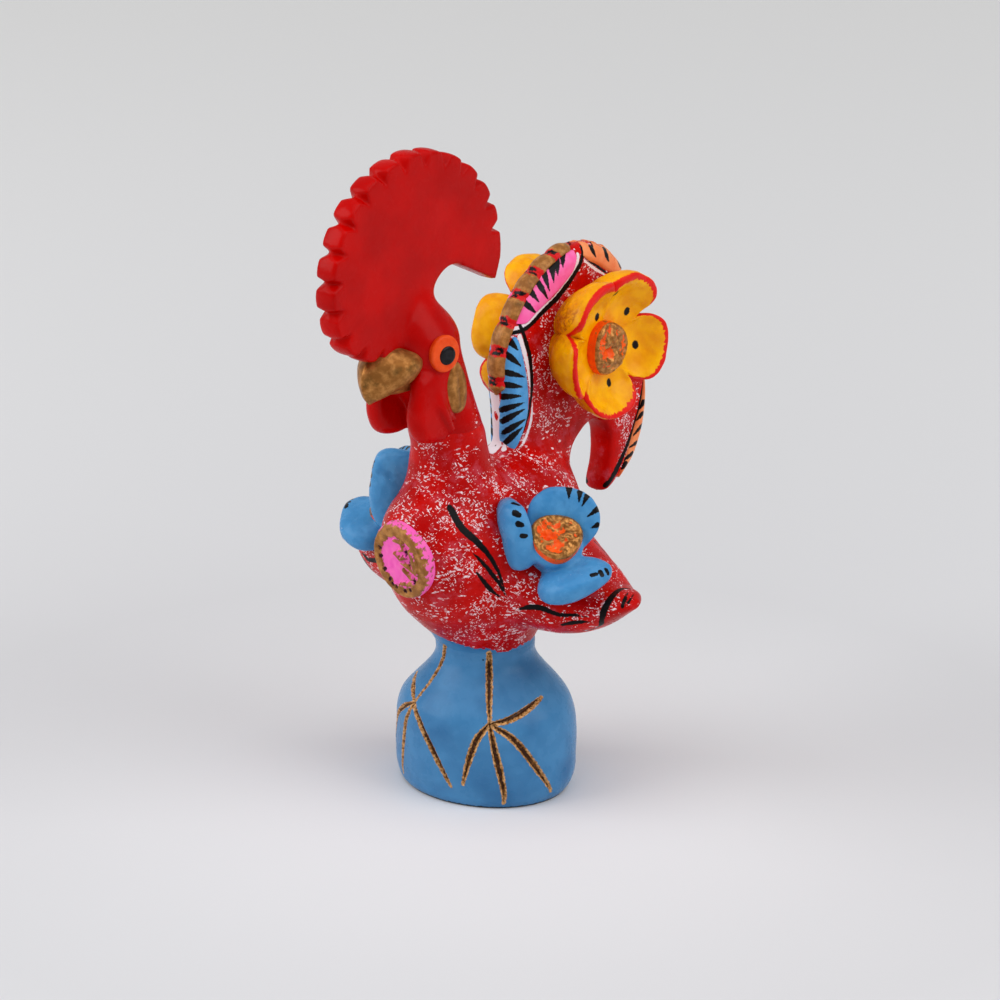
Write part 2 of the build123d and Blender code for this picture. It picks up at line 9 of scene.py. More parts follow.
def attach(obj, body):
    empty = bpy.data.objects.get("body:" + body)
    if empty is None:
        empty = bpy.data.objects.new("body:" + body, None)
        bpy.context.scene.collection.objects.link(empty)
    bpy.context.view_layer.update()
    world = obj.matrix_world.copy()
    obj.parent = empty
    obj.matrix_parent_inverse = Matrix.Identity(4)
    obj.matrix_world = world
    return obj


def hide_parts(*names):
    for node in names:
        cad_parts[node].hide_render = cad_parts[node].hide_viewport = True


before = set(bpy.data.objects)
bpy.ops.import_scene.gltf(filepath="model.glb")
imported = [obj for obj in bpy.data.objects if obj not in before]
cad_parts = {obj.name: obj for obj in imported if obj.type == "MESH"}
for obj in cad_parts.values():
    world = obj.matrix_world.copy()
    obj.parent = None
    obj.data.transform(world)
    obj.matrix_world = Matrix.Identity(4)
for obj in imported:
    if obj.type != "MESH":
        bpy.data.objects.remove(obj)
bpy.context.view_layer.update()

# Lengths are millimetres in this frame and become metres when a mesh is made.
# The rooster faces -Y, +X is its left side, and the origin is under the middle of its foot.
MM = 0.001

# Camera, at the photograph's viewing angle
camera_azimuth = 40.0
camera_elevation = 18.5
camera_distance = 650.0
camera_target = (2.021, 1.695, 53.039)
focal_pixels = 3665.71
frame_pixels = 1000.0
sensor_width = 36.0
# A stroke painted from the camera lands once in so many pixels, and doesn't jump further than this
stroke_step_pixels = 3.0
stroke_longest_step = 2.5

# How fine the castings are remeshed
body_voxel = 0.36
head_voxel = 0.25
wing_flower_voxel = 0.26

# Cast forms, as level rings: height, half width, front, back
torso_rings = [
    (25.0, 8.3, -8.3, 8.3),
    (26.4, 8.6, -8.7, 8.7),
    (28.6, 9.3, -10.0, 9.7),
    (31.9, 11.2, -13.3, 12.8),
    (36.0, 13.7, -17.3, 16.3),
    (40.4, 15.0, -19.9, 19.1),
    (45.2, 15.2, -21.6, 21.2),
    (50.0, 14.0, -22.9, 21.8),
    (54.1, 11.7, -23.2, 21.2),
    (57.4, 9.1, -20.9, 20.0),
    (60.1, 5.8, -18.0, 17.6),
    (61.4, 2.7, -14.2, 13.2),
]
neck_rings = [
    (50.0, 9.6, -19.6, 0.6),
    (54.0, 9.2, -18.8, -0.2),
    (57.6, 8.4, -17.4, -0.7),
    (62.8, 7.3, -16.7, -2.1),
    (66.0, 6.7, -16.4, -3.0),
    (69.5, 6.55, -17.3, -4.2),
    (70.6, 6.3, -17.2, -4.9),
    (71.6, 5.4, -16.4, -5.8),
]
head_rings = [
    (66.2, 6.2, -15.9, -3.5),
    (69.0, 6.5, -17.0, -4.0),
    (70.5, 6.6, -17.7, -4.5),
    (74.2, 5.9, -18.6, -5.6),
    (77.5, 6.2, -20.6, -7.2),
    (81.0, 6.5, -23.0, -8.5),
    (85.0, 6.7, -24.2, -9.9),
    (88.0, 6.2, -24.4, -10.2),
    (90.5, 5.0, -24.0, -11.4),
    (92.5, 3.7, -22.8, -13.2),
    (94.5, 2.7, -21.5, -15.5),
    (96.0, 2.0, -20.5, -17.0),
]
# Wing sections: distance from the middle, half chord, half height, middle back, middle height
wing_sections = [
    (6.0, 14.3, 10.4, 3.0, 44.4),
    (13.2, 13.1, 9.25, 3.0, 41.2),
    (20.2, 10.6, 6.45, 3.0, 38.95),
    (25.9, 7.3, 3.6, 3.0, 38.3),
    (29.8, 4.2, 1.85, 3.0, 39.5),
    (31.7, 1.4, 0.7, 3.0, 39.8),
]

# Comb
comb_middle = (-19.5, 99.4)
comb_half_length = 21.8
comb_half_height = 20.5
comb_half_thickness = 2.12
comb_first_notch = -5.0
comb_tooth_pitch = 15.0
comb_tooth_count = 17
comb_notch_depth = 0.9
comb_notch_depth_at_face = 3.3
comb_scallop_depth = 0.4
comb_notch_slope = 0.8
comb_notch_slope_at_face = 2.3
comb_edge_round = 0.45
comb_scoop_middle = (-10.3, 93.7)
comb_scoop_radius = 4.7
comb_scoop_mouth = 65.0
comb_tip = (0.7, 93.6)
comb_root_front = (-22.0, 85.6)
comb_root_back = (-15.0, 86.5)

# Wattle in the side view, and the folds of skin on the cheek as rods with their radii
wattle_outline = [
    (-24.0, 82.0), (-25.0, 77.5), (-24.7, 73.0), (-23.0, 70.2), (-20.5, 69.3), (-17.2, 69.3), (-15.2, 71.0),
    (-15.5, 75.0), (-18.0, 81.0),
]
wattle_middle = 4.6
wattle_half_thickness = 1.9
wattle_edge_round = 1.5
cheek_folds = [
    ([(5.4, -22.0, 80.6), (6.4, -19.6, 76.6), (6.3, -16.4, 71.2)], [0.5, 1.0, 0.8]),
    ([(5.6, -18.8, 80.0), (5.8, -17.0, 76.4), (5.6, -14.9, 72.6)], [0.3, 0.7, 0.4]),
]
# White chips reach up the neck to this height, and higher by this much at its back
neck_chip_height = 68.5
neck_chip_rise = 6.0

# Tail plate
tail_half_thickness = 2.8
tail_edge_round = 2.3
hook_edge_round = 0.9
hook_middle = (27.0, 54.5)
# The inside of the hook has no white chips: within this radius, behind this place and below this height
hook_plain_radius = 8.6
hook_plain_back = 22.0
hook_plain_top = 62.5
tail_outline = [
    (2.6, 47.5),
    (3.2, 56.0),
    (3.6, 61.2),
    (3.6, 67.9),
    (3.0, 72.5),
    (2.9, 77.5),
    (4.0, 81.5),
    (6.5, 85.5),
    (10.1, 89.6),
    (14.8, 92.9),
    (21.9, 95.2),
    (27.9, 94.9),
    (32.0, 93.2),
    (36.2, 89.2),
    (39.8, 83.2),
    (42.6, 75.5),
    (43.5, 67.0),
    (43.3, 61.2),
    (41.9, 55.8),
    (39.2, 51.2),
    (35.8, 48.4),
    (32.8, 46.9),
    (31.2, 46.9),
    (31.1, 48.6),
    (31.9, 52.0),
    (32.4, 55.4),
    (31.9, 58.9),
    (30.1, 61.1),
    (27.5, 61.6),
    (24.9, 60.4),
    (22.6, 58.0),
    (21.5, 54.7),
    (21.3, 51.0),
    (20.4, 47.0),
]

# Feather leaves on the tail's faces, as two edges from tip to tip: back, height
blue_outer_edge = [
    (4.5, 61.2), (3.75, 63.4), (3.66, 67.1), (3.33, 70.5), (3.05, 74.8), (3.1, 77.4), (3.9, 80.3),
    (5.2, 82.2),
]
blue_inner_edge = [
    (4.5, 61.2), (5.9, 63.0), (7.6, 65.7), (8.4, 67.9), (8.6, 70.7), (8.3, 73.4), (7.7, 76.1), (6.7, 79.4),
    (5.6, 82.3),
]
pink_outer_edge = [
    (6.4, 84.6), (7.0, 86.0), (8.4, 87.6), (10.9, 89.9), (13.7, 91.9), (17.3, 93.5), (20.2, 94.5),
    (21.9, 94.7),
]
pink_inner_edge = [
    (6.4, 84.4), (7.7, 84.3), (10.5, 85.6), (15.2, 87.7), (19.0, 89.7), (21.2, 91.5), (21.9, 93.4),
    (22.0, 94.6),
]
orange_top_outer_edge = [
    (24.3, 94.4), (25.2, 95.2), (26.4, 95.1), (27.1, 94.5), (28.2, 94.9), (29.5, 94.4), (30.2, 93.6),
    (31.3, 93.7), (32.4, 92.9), (33.1, 91.9), (34.2, 91.1), (35.4, 89.4),
]
orange_top_inner_edge = [
    (23.8, 93.4), (25.2, 92.3), (27.3, 91.2), (29.4, 90.0), (31.4, 88.9), (33.6, 88.2), (35.3, 88.6),
]
orange_back_outer_edge = [
    (43.3, 67.0), (43.0, 61.4), (41.5, 56.2), (38.9, 51.7), (35.3, 48.9),
]
orange_back_inner_edge = [
    (42.3, 67.0), (41.1, 61.6), (38.6, 56.6), (36.8, 53.0), (35.1, 49.3),
]
leaf_stand = 0.5
leaf_sink = 1.4
# The right blue leaf starts further back and leaves the tail's front edge white
blue_right_set_back = 1.0
front_edge_white = dict(
    middle=-0.9, half_width=1.5, low=60.5, high=72.0, middle_back=3.2, half_depth=2.0,
)
front_edge_black_line = [
    (-1.9, 3.4, 71.0), (-1.5, 3.2, 68.5), (-0.9, 3.3, 66.0), (-0.7, 3.4, 63.5), (-0.1, 3.4, 61.0),
]
front_edge_black_half_widths = [0.3, 0.3, 0.25, 0.2, 0.1]
front_edge_red_spot = (-0.6, 3.4, 67.6)
front_edge_spot_radius = 0.6
# Black and white brush lines along the leaves: places on the tail's face, and half widths
border_steps = 24
border_black_lines = [
    (
        [
            (24.6, 94.9), (23.7, 93.6), (23.1, 92.4), (20.9, 90.1), (16.6, 87.3), (12.2, 85.3),
            (7.9, 83.4), (5.2, 82.9), (4.2, 82.6),
        ],
        [0.35, 0.5, 0.55, 0.6, 0.6, 0.5, 0.45, 0.4, 0.25],
    ),
    (
        [
            (7.0, 86.0), (6.7, 84.6), (7.3, 82.4), (8.6, 79.0), (9.3, 75.7), (9.4, 72.0), (9.0, 69.3),
            (8.1, 66.6), (6.5, 63.6), (5.5, 62.0),
        ],
        [0.25, 0.35, 0.5, 0.5, 0.45, 0.4, 0.35, 0.3, 0.25, 0.08],
    ),
    ([(23.8, 93.3), (25.6, 92.0), (27.3, 91.0), (29.4, 89.6), (31.6, 88.3)], [0.1, 0.2, 0.25, 0.25, 0.12]),
    (
        [(41.9, 66.0), (40.7, 61.0), (39.4, 58.2), (37.6, 55.5), (35.6, 52.5), (33.5, 49.9), (31.4, 48.2)],
        [0.2, 0.4, 0.45, 0.45, 0.5, 0.75, 0.5],
    ),
    ([(2.3, 71.5), (2.8, 68.5), (3.2, 66.0), (3.3, 64.5)], [0.2, 0.25, 0.2, 0.08]),
]
border_white_lines = [
    (
        [(22.6, 93.9), (21.9, 92.0), (19.6, 89.7), (15.7, 87.4), (11.4, 85.6), (7.8, 84.0), (5.6, 83.4)],
        [0.35, 0.45, 0.35, 0.3, 0.3, 0.5, 0.5],
    ),
    ([(6.3, 82.3), (7.1, 80.0), (8.3, 76.3), (8.8, 73.4), (8.9, 71.0)], [0.45, 0.5, 0.45, 0.3, 0.1]),
    (
        [(9.6, 70.0), (9.5, 68.2), (9.0, 65.5), (7.7, 63.3), (5.5, 61.4), (4.0, 60.9)],
        [0.12, 0.3, 0.35, 0.35, 0.35, 0.2],
    ),
    ([(23.9, 92.6), (26.9, 90.5), (30.9, 88.1)], [0.2, 0.28, 0.15]),
    ([(41.2, 60.0), (37.2, 54.2), (33.2, 49.2), (31.2, 47.8)], [0.1, 0.15, 0.2, 0.15]),
    ([(2.9, 70.5), (3.3, 66.0), (3.4, 62.5), (3.2, 60.0)], [0.5, 0.7, 0.7, 0.2]),
]

# Beads along the tail's rim
bead_pitch = 5.3
bead_gold_half_length = 1.75
bead_half_width = 1.95
bead_path = [
    (3.15, 71.9), (2.9, 74.8), (2.9, 77.5), (4.0, 81.5), (6.5, 85.5), (10.1, 89.6), (14.8, 92.9),
    (19.0, 94.5), (23.3, 95.3),
]

# Beak, as level pointed ovals: height, half width, front, back
beak_rings = [
    (77.8, 0.8, -30.4, -28.6),
    (78.6, 2.6, -31.2, -26.0),
    (80.0, 4.2, -31.9, -22.5),
    (82.0, 5.3, -32.2, -20.4),
    (84.0, 5.8, -31.6, -19.8),
    (85.7, 5.2, -30.0, -20.0),
    (86.8, 3.6, -28.0, -20.8),
    (87.4, 1.6, -26.0, -23.0),
]
beak_middle_height = 82.6
bill_rings = [
    (78.6, 1.2, -26.0, -21.0),
    (79.0, 2.4, -27.0, -19.5),
    (79.8, 3.0, -27.6, -18.5),
    (80.8, 2.9, -27.4, -18.5),
    (81.6, 1.6, -26.0, -20.0),
]

# Eyes, ear lobes and chest plaque
eye_place = (6.75, -18.5, 85.4)
eye_turn = 11.0
eye_ring_profile = [
    (2.7, -1.2), (2.95, -0.5), (3.0, 0.1), (2.85, 0.35), (2.3, 0.45), (1.2, 0.48), (0.2, 0.48),
]
eye_height_stretch = 1.08
pupil_profile = [(1.5, -0.2), (1.65, 0.3), (1.6, 0.62), (1.25, 0.78), (0.7, 0.84), (0.1, 0.85)]
pupil_shift = (0.2, -0.25, 0.0)
lobe_place = (6.3, -14.9, 78.6)
lobe_lean = 8.0
lobe_half_sizes = (4.7, 2.75, 0.95)
lobe_squareness = 2.3
lobe_groove_depth = 0.30
lobe_groove_width = 0.55
# Twice the radius of the lobe's bend round the head
lobe_bend = 13.0
plaque_radius = 7.3
plaque_narrowing = 0.83
plaque_place = (-0.1, -22.7, 47.5)
plaque_tilt = 12.0
plaque_thickness = 2.2
plaque_ring_radius = 6.05
plaque_ring_half_width = 1.1
plaque_ring_height = 0.32
plaque_curl_height = 0.60
plaque_pit_radius = 0.42
plaque_pit_depth = 0.30

# Wing flower on the left: hub and petals, each with its place, its way to the rim and its inner side
wing_flower_axis = (0.539, -0.350, 0.766)
wing_flower_foot = (16.1, -1.95, 46.1)
wing_hub_radius = 4.8
wing_disc_height = 7.6
wing_disc_half_sizes = (4.7, 4.5)
wing_disc_thickness = 1.4
wing_disc_seed = 5
front_petal = dict(
    root=(14.1, -7.4, 45.3), rim_way=(-0.16, -0.06, 0.98), inner=(0.52, 0.80, 0.20),
    size=(12.6, 10.0, 4.4), cup=1.2, curl=0.8, outline=(3.4, 0.06, 0.0),
)
back_petal = dict(
    root=(18.9, -2.5, 47.2), rim_way=(-0.05, 0.26, 0.96), inner=(0.55, -0.72, 0.35),
    size=(12.4, 13.0, 3.2), cup=2.0, curl=1.2, outline=(2.3, 0.28, 0.0),
)
outer_petal = dict(
    root=(18.3, -7.2, 42.8), rim_way=(0.82, 0.42, 0.24), inner=(-0.10, -0.36, 0.93),
    size=(13.6, 11.4, 5.2), cup=0.4, curl=0.6, outline=(2.7, 0.05, 0.40),
)

# The right flower's front petal stands taller, and its centre sits lower
far_front_petal = dict(
    root=(14.1, -7.6, 46.2), rim_way=(-0.16, -0.06, 0.98), inner=(0.52, 0.80, 0.20),
    size=(16.0, 11.4, 4.6), cup=1.0, curl=0.8, outline=(3.4, 0.10, 0.0),
)
far_disc_height = 5.4

# Tail flower on the left: its axis is +X from the tail's face
tail_flower_foot = (2.6, 24.0, 77.4)
tail_flower_gap = 0.3
tail_flower_sides = 540
right_tail_flower_turn = 100.0
# Each petal: the angle and radius where it meets the one before it, how far the rim dips there,
# and the petal's own radius
tail_petals = [
    (28.0, 9.8, 0.4, 14.4),
    (94.0, 12.2, 0.6, 13.8),
    (157.0, 11.6, 3.0, 13.2),
    (226.0, 10.0, 1.2, 12.8),
    (313.0, 10.0, 0.5, 13.9),
]
tail_wall = [(0.0, 0.74), (2.2, 0.87), (5.0, 0.97), (7.2, 1.0), (8.8, 0.985)]
tail_bowl = [(0.0, 4.5), (5.2, 4.6), (8.0, 5.4), (10.0, 6.6), (11.4, 8.0), (12.2, 8.6), (15.0, 8.8)]
tail_disc_height = 6.3
tail_disc_half_sizes = (4.7, 4.8)
tail_disc_thickness = 2.0
tail_disc_seed = 8
# Black dots in the petals, in pixels of the photograph
tail_dots_px = [
    (626.8, 311.3), (635.2, 344.6), (608.9, 382.7), (596.8, 317.1), (555.7, 333.6), (615.7, 293.4),
]
tail_dot_radius = 0.5

# Incised toes on the foot: the groove's depth, the lip beside it, and how far their paint reaches
groove_depth = 0.5
lip_height = 0.08
lip_place = 0.18
lip_width = 0.14
gold_reach = 0.20
groove_paint_inset = 0.14
# Toe lines: the greatest half width, and places in degrees round from the front and in height
toe_steps = 14
toe_lines = [
    (0.48, [(45.4, 28.6), (44.8, 24.7), (43.0, 20.2), (41.8, 16.3)]),
    (0.52, [(41.5, 16.3), (43.1, 11.7), (46.2, 5.7), (47.8, 1.2)]),
    (0.52, [(40.5, 16.2), (32.3, 13.5), (26.3, 9.4), (21.4, 4.6)]),
    (0.52, [(42.5, 16.3), (55.9, 13.5), (67.8, 8.5), (82.5, 2.3)]),
    (0.52, [(43.0, 16.4), (54.2, 16.9), (70.4, 18.0), (89.0, 19.1)]),
    (0.32, [(-4.0, 31.0), (-12.6, 27.1), (-17.7, 23.5), (-17.5, 20.3), (-19.6, 17.4)]),
    (0.42, [(-19.3, 17.3), (-23.7, 13.6), (-28.3, 8.0), (-32.3, 2.2)]),
    (0.42, [(-20.0, 17.3), (-31.7, 15.4), (-43.1, 11.7), (-52.0, 6.5)]),
    (0.52, [(-19.0, 17.3), (-7.9, 14.3), (2.2, 9.8), (13.4, 3.7)]),
    (0.40, [(-20.0, 17.4), (-27.0, 18.3), (-37.0, 19.2), (-52.0, 20.2)]),
]

# Bell of the foot: height, how far it opens sideways, in front and behind
bell_rings = [
    (0.0, 15.7, -13.4, 13.0),
    (0.5, 16.1, -13.8, 13.4),
    (2.6, 17.1, -14.4, 14.4),
    (6.5, 17.2, -14.9, 15.1),
    (10.8, 16.9, -15.2, 15.6),
    (14.4, 16.4, -15.3, 15.3),
    (16.9, 15.3, -14.7, 14.5),
    (19.2, 13.3, -13.1, 13.0),
    (21.3, 11.3, -11.2, 11.2),
    (23.6, 9.5, -9.5, 9.5),
    (25.5, 8.85, -8.9, 8.9),
    (26.5, 8.9, -9.0, 9.0),
    (27.5, 8.8, -9.1, 9.0),
    (28.6, 8.2, -8.7, 8.5),
]
# The foot's lowest edge is painted dark up to this height, as painted contact shade where it stands on the
# table
rim_shade_height = 0.35

# Strokes of black paint on the left side: pixels of the photograph, and half widths in millimetres
near_strokes_px = [
    (
        [(450, 508), (462, 528), (477, 542), (490, 557), (498, 571), (506, 595)],
        [0.62, 0.72, 0.62, 0.45, 0.28, 0.08],
    ),
    ([(472, 552), (483, 563), (492, 574), (500, 585), (506, 597)], [0.1, 0.35, 0.4, 0.3, 0.08]),
    ([(476, 572), (485, 583), (492, 591), (500, 597)], [0.12, 0.42, 0.42, 0.12]),
    (
        [(520, 609), (532, 607), (541, 608), (551, 612), (561, 615), (573, 615), (588, 617)],
        [0.3, 0.55, 0.5, 0.4, 0.35, 0.25, 0.06],
    ),
    ([(562, 625), (572, 623), (582, 622), (592, 622)], [0.3, 0.5, 0.4, 0.06]),
    ([(601, 625), (604, 611), (611, 598), (621, 589), (631, 589)], [0.45, 0.6, 0.6, 0.5, 0.15]),
    ([(580, 631), (590, 630), (600, 626)], [0.1, 0.2, 0.25]),
    ([(622, 607), (625, 599), (628, 592)], [0.3, 0.35, 0.1]),
    ([(628, 603), (634, 594)], [0.25, 0.1]),
    ([(594, 541), (602, 549), (609, 558)], [0.2, 0.25, 0.12]),
]
far_strokes_px = [
    ([(353, 543), (358, 538)], [0.4, 0.5]),
    ([(364, 535), (370, 529), (377, 523)], [0.2, 0.6, 0.2]),
    ([(380, 516), (386, 511)], [0.15, 0.2]),
]
# Red meets blue at this height round the waist: degrees from the front towards the left side, height
waist_line = [
    (-180.0, 28.6),
    (-110.0, 28.9),
    (-60.0, 29.6),
    (-11.0, 30.6),
    (10.0, 29.5),
    (24.0, 28.7),
    (46.0, 28.4),
    (61.0, 27.1),
    (75.0, 27.7),
    (110.0, 28.2),
    (180.0, 28.6),
]

# Raised curls and pits on the plaque, in millimetres from its middle
plaque_curls = [
    ([(-0.4, 4.4), (1.5, 4.2), (1.9, 3.0), (0.3, 2.4)], [0.45, 0.5, 0.45, 0.3]),
    ([(-1.0, 1.7), (0.5, 0.9), (2.1, 1.4)], [0.3, 0.45, 0.35]),
    ([(0.4, 0.2), (2.5, -0.4), (3.8, -1.1)], [0.3, 0.5, 0.5]),
    ([(0.8, -1.3), (2.9, -2.6)], [0.35, 0.5]),
    ([(-0.5, -4.3), (1.6, -4.1), (3.0, -3.9)], [0.35, 0.45, 0.4]),
    ([(3.6, 2.8), (4.3, 0.8), (4.4, -1.2)], [0.6, 0.9, 0.7]),
]
plaque_pits = [
    (0.4, -5.6), (-2.0, -5.2), (-3.6, -4.0), (-4.7, -2.2), (-5.2, 0.3), (-5.0, 2.0), (3.3, -3.2),
    (1.8, -5.2), (2.2, 2.2), (3.0, 0.4), (-3.0, -4.8),
]

leaf_edges = {
    "blue": (blue_outer_edge, blue_inner_edge),
    "pink": (pink_outer_edge, pink_inner_edge),
    "orange_top": (orange_top_outer_edge, orange_top_inner_edge),
    "orange_back": (orange_back_outer_edge, orange_back_inner_edge),
}
# Black wedges on each leaf, from the outer to the inner edge, in pixels of the photograph
leaf_wedges_px = {
    "blue": [
        ((507, 338), (518, 350)), ((504, 352), (521, 366)), ((500, 371), (525, 377)),
        ((500, 384), (523, 387)), ((496, 397), (522, 396)), ((498, 411), (524, 403)),
        ((499, 423), (525, 409)), ((503, 433), (526, 419)), ((505, 443), (523, 427)),
    ],
    "pink": [
        ((523, 301), (537, 314)), ((527, 287), (539, 302)), ((538, 282), (548, 299)),
        ((541, 264), (550, 292)), ((551, 262), (554, 283)), ((556, 256), (558, 276)),
        ((562, 248), (563, 268)),
    ],
    "orange_top": [((589, 243), (596, 257)), ((604, 248), (609, 262)), ((617, 259), (622, 270))],
    "orange_back": [
        ((645, 400), (639, 410)), ((644, 412), (636, 421)), ((643, 424), (633, 436)),
        ((640, 440), (629, 448)), ((634, 452), (623, 461)), ((626, 464), (615, 473)),
    ],
}
leaf_wedge_half_widths = {
    "blue": (0.45, 0.62, 0.45, 0.12),
    "pink": (0.5, 0.6, 0.4, 0.1),
    "orange_top": (0.45, 0.6, 0.1),
    "orange_back": (0.6, 0.35, 0.08),
}

# Brush marks on the blue petals, in pixels of the photograph
blue_petal_marks_px = [
    ([(511, 498), (518, 501)], [0.25, 0.2]),
    ([(513, 503), (519, 505)], [0.45, 0.3]),
    ([(515, 513), (519, 515)], [0.62, 0.5]),
    ([(518, 524), (522, 525)], [0.55, 0.45]),
    ([(522, 536), (526, 536)], [0.45, 0.4]),
    ([(569, 488), (569, 499)], [0.6, 0.1]),
    ([(580, 490), (579, 502)], [0.6, 0.1]),
    ([(588, 494), (582, 506)], [0.6, 0.1]),
    ([(599, 508), (587, 517)], [0.65, 0.1]),
    ([(598, 525), (591, 528)], [0.5, 0.1]),
    ([(592, 575), (596, 574)], [0.45, 0.42]),
    ([(600, 571), (602, 575)], [0.38, 0.44]),
    ([(606, 569), (608, 573)], [0.36, 0.42]),
    ([(611, 565), (613, 570)], [0.34, 0.3]),
    ([(603, 559), (610, 564)], [0.15, 0.2]),
]

# Distances to paint strokes are worked out only this near them, and count as far away elsewhere
brush_reach = 1.5
far_away = 100.0
# The distance to paint at places that it never reaches
unpainted = 10.0


# Small mathematics

def through(table, places):
    """A smooth curve through a table: Hermite pieces between its rows, with slopes from neighbours."""
    table = np.asarray(table, dtype=float)
    knots = table[:, 0]
    values = table[:, 1:]
    slopes = np.gradient(values, knots, axis=0)
    places = np.clip(places, knots[0], knots[-1])
    row = np.clip(np.searchsorted(knots, places, side="right") - 1, 0, len(knots) - 2)
    step = (knots[row + 1] - knots[row])[:, None]
    t = (places - knots[row])[:, None] / step
    rise = t * t * (3 - 2 * t)
    bend = t * (1 - t)
    return (
        values[row] * (1 - rise)
        + values[row + 1] * rise
        + bend * step * (slopes[row] * (1 - t) - slopes[row + 1] * t)
    )


def along(points, count, closed=False):
    """Points at even steps on a smooth curve through the given points."""
    points = np.asarray(points, dtype=float)
    if closed:
        points = np.concatenate([points[-2:], points, points[:3]])
    steps = np.linalg.norm(np.diff(points, axis=0), axis=1)
    length = np.concatenate([[0], np.cumsum(steps)])
    first, last = (length[2], length[-3]) if closed else (0, length[-1])
    places = np.linspace(first, last, count, endpoint=not closed)
    return through(np.column_stack([length, points]), places)


def spread_widths(half_widths, count):
    """Half widths given at even places along a stroke, read off at count places."""
    return np.interp(np.linspace(0, 1, count), np.linspace(0, 1, len(half_widths)), half_widths)


def smooth_step(low, high, x):
    """0 below low, 1 above high, and an even S-curve between them."""
    t = np.clip((x - low) / (high - low), 0, 1)
    return t * t * (3 - 2 * t)


def value_noise(points, size, seed):
    """Soft random waves from -1 to 1: a seeded lattice of numbers, blended between corners size apart."""
    lattice = np.random.default_rng(seed).random((32, 32, 32)) * 2 - 1
    place = np.asarray(points) / size + 97.3
    cell = np.floor(place).astype(int)
    part = place - cell
    part = part * part * (3 - 2 * part)
    total = np.zeros(len(place))
    for corner in np.ndindex(2, 2, 2):
        share = np.prod(np.where(corner, part, 1 - part), axis=1)
        spot = (cell + corner) % 32
        total += share * lattice[spot[:, 0], spot[:, 1], spot[:, 2]]
    return total


def placed(points, origin, x_axis, z_axis):
    """Points drawn on a flat board, moved to the board's place: origin, x axis and outward axis."""
    z_axis = np.asarray(z_axis, float) / np.linalg.norm(z_axis)
    x_axis = np.asarray(x_axis, float)
    x_axis = x_axis - (x_axis @ z_axis) * z_axis
    x_axis = x_axis / np.linalg.norm(x_axis)
    y_axis = np.cross(z_axis, x_axis)
    return points @ np.stack([x_axis, y_axis, z_axis]) + origin


def brush_distance(points, path, half_widths, longest_step=far_away):
    """Distance in millimetres from points to a brush stroke's edge; negative inside the stroke.

    The stroke is a chain of straight steps whose half width changes evenly along each step. A step
    that is too long jumps from one surface to another and is left out.
    """
    nearest = np.full(len(points), far_away)
    if len(path) < 2:
        return nearest
    path = np.asarray(path, float)
    reach = max(half_widths) + brush_reach
    low = path.min(axis=0) - reach
    high = path.max(axis=0) + reach
    close = np.flatnonzero(np.all((points > low) & (points < high), axis=1))
    some = points[close]
    gaps = np.full(len(some), far_away)
    for start, end, wide, narrow in zip(path[:-1], path[1:], half_widths[:-1], half_widths[1:]):
        run = end - start
        if not 0 < np.linalg.norm(run) < longest_step:
            continue
        t = np.clip((some - start) @ run / (run @ run), 0, 1)
        gap = np.linalg.norm(some - start - t[:, None] * run, axis=1)
        gaps = np.minimum(gaps, gap - wide - (narrow - wide) * t)
    nearest[close] = gaps
    return nearest


# Meshes

def closed_rings(rings):
    """A closed skin from rings of points [row, side]; each end is closed by a middle point."""
    rows, sides = rings.shape[:2]
    vertices = np.concatenate([rings.reshape(-1, 3), [rings[0].mean(axis=0), rings[-1].mean(axis=0)]])
    here = np.arange(sides)
    there = np.roll(here, -1)
    row = np.arange(rows - 1)[:, None] * sides
    quads = np.stack([row + here, row + there, row + sides + there, row + sides + here], axis=-1)
    top = (rows - 1) * sides
    first = np.stack([there, here, np.full(sides, rows * sides)], axis=-1)
    last = np.stack([top + here, top + there, np.full(sides, rows * sides + 1)], axis=-1)
    return outward(vertices, quads.reshape(-1, 4).tolist() + first.tolist() + last.tolist())


def with_ends(values, ends=(unpainted, unpainted)):
    """A value for each point of a ring skin, followed by those of its two end points."""
    return np.concatenate([np.ravel(values), ends])


def closed_plate(layers):
    """A closed plate from outlines [layer, point]; the first and last outline are its two faces."""
    count, sides = layers.shape[:2]
    here = np.arange(sides)
    there = np.roll(here, -1)
    row = np.arange(count - 1)[:, None] * sides
    quads = np.stack([row + here, row + there, row + sides + there, row + sides + here], axis=-1)
    near_face = here[::-1].tolist()
    far_face = ((count - 1) * sides + here).tolist()
    return outward(layers.reshape(-1, 3), quads.reshape(-1, 4).tolist() + [near_face, far_face])


def outward(vertices, faces):
    """Turns all faces round if the skin's volume comes out negative."""
    corners = np.array([face[:3] for face in faces])
    a, b, c = vertices[corners[:, 0]], vertices[corners[:, 1]], vertices[corners[:, 2]]
    d = vertices[np.array([face[-1] for face in faces])]
    volume = np.einsum("ij,ij->i", a, np.cross(b, c)).sum()
    volume += np.einsum("ij,ij->i", a, np.cross(c, d)).sum()
    if volume < 0:
        faces = [face[::-1] for face in faces]
    return vertices, faces


def merged(parts):
    """Several skins as one list of vertices and faces."""
    vertices = []
    faces = []
    start = 0
    for part_vertices, part_faces in parts:
        vertices.append(part_vertices)
        faces += [[corner + start for corner in face] for face in part_faces]
        start += len(part_vertices)
    return np.concatenate(vertices), faces


def mirrored(part):
    """The same skin on the rooster's other side."""
    vertices, faces = part
    return vertices * (-1, 1, 1), [face[::-1] for face in faces]


def in_scene(name, data):
    """A new object at the origin, linked to the scene."""
    thing = bpy.data.objects.new(name, data)
    bpy.context.scene.collection.objects.link(thing)
    return thing


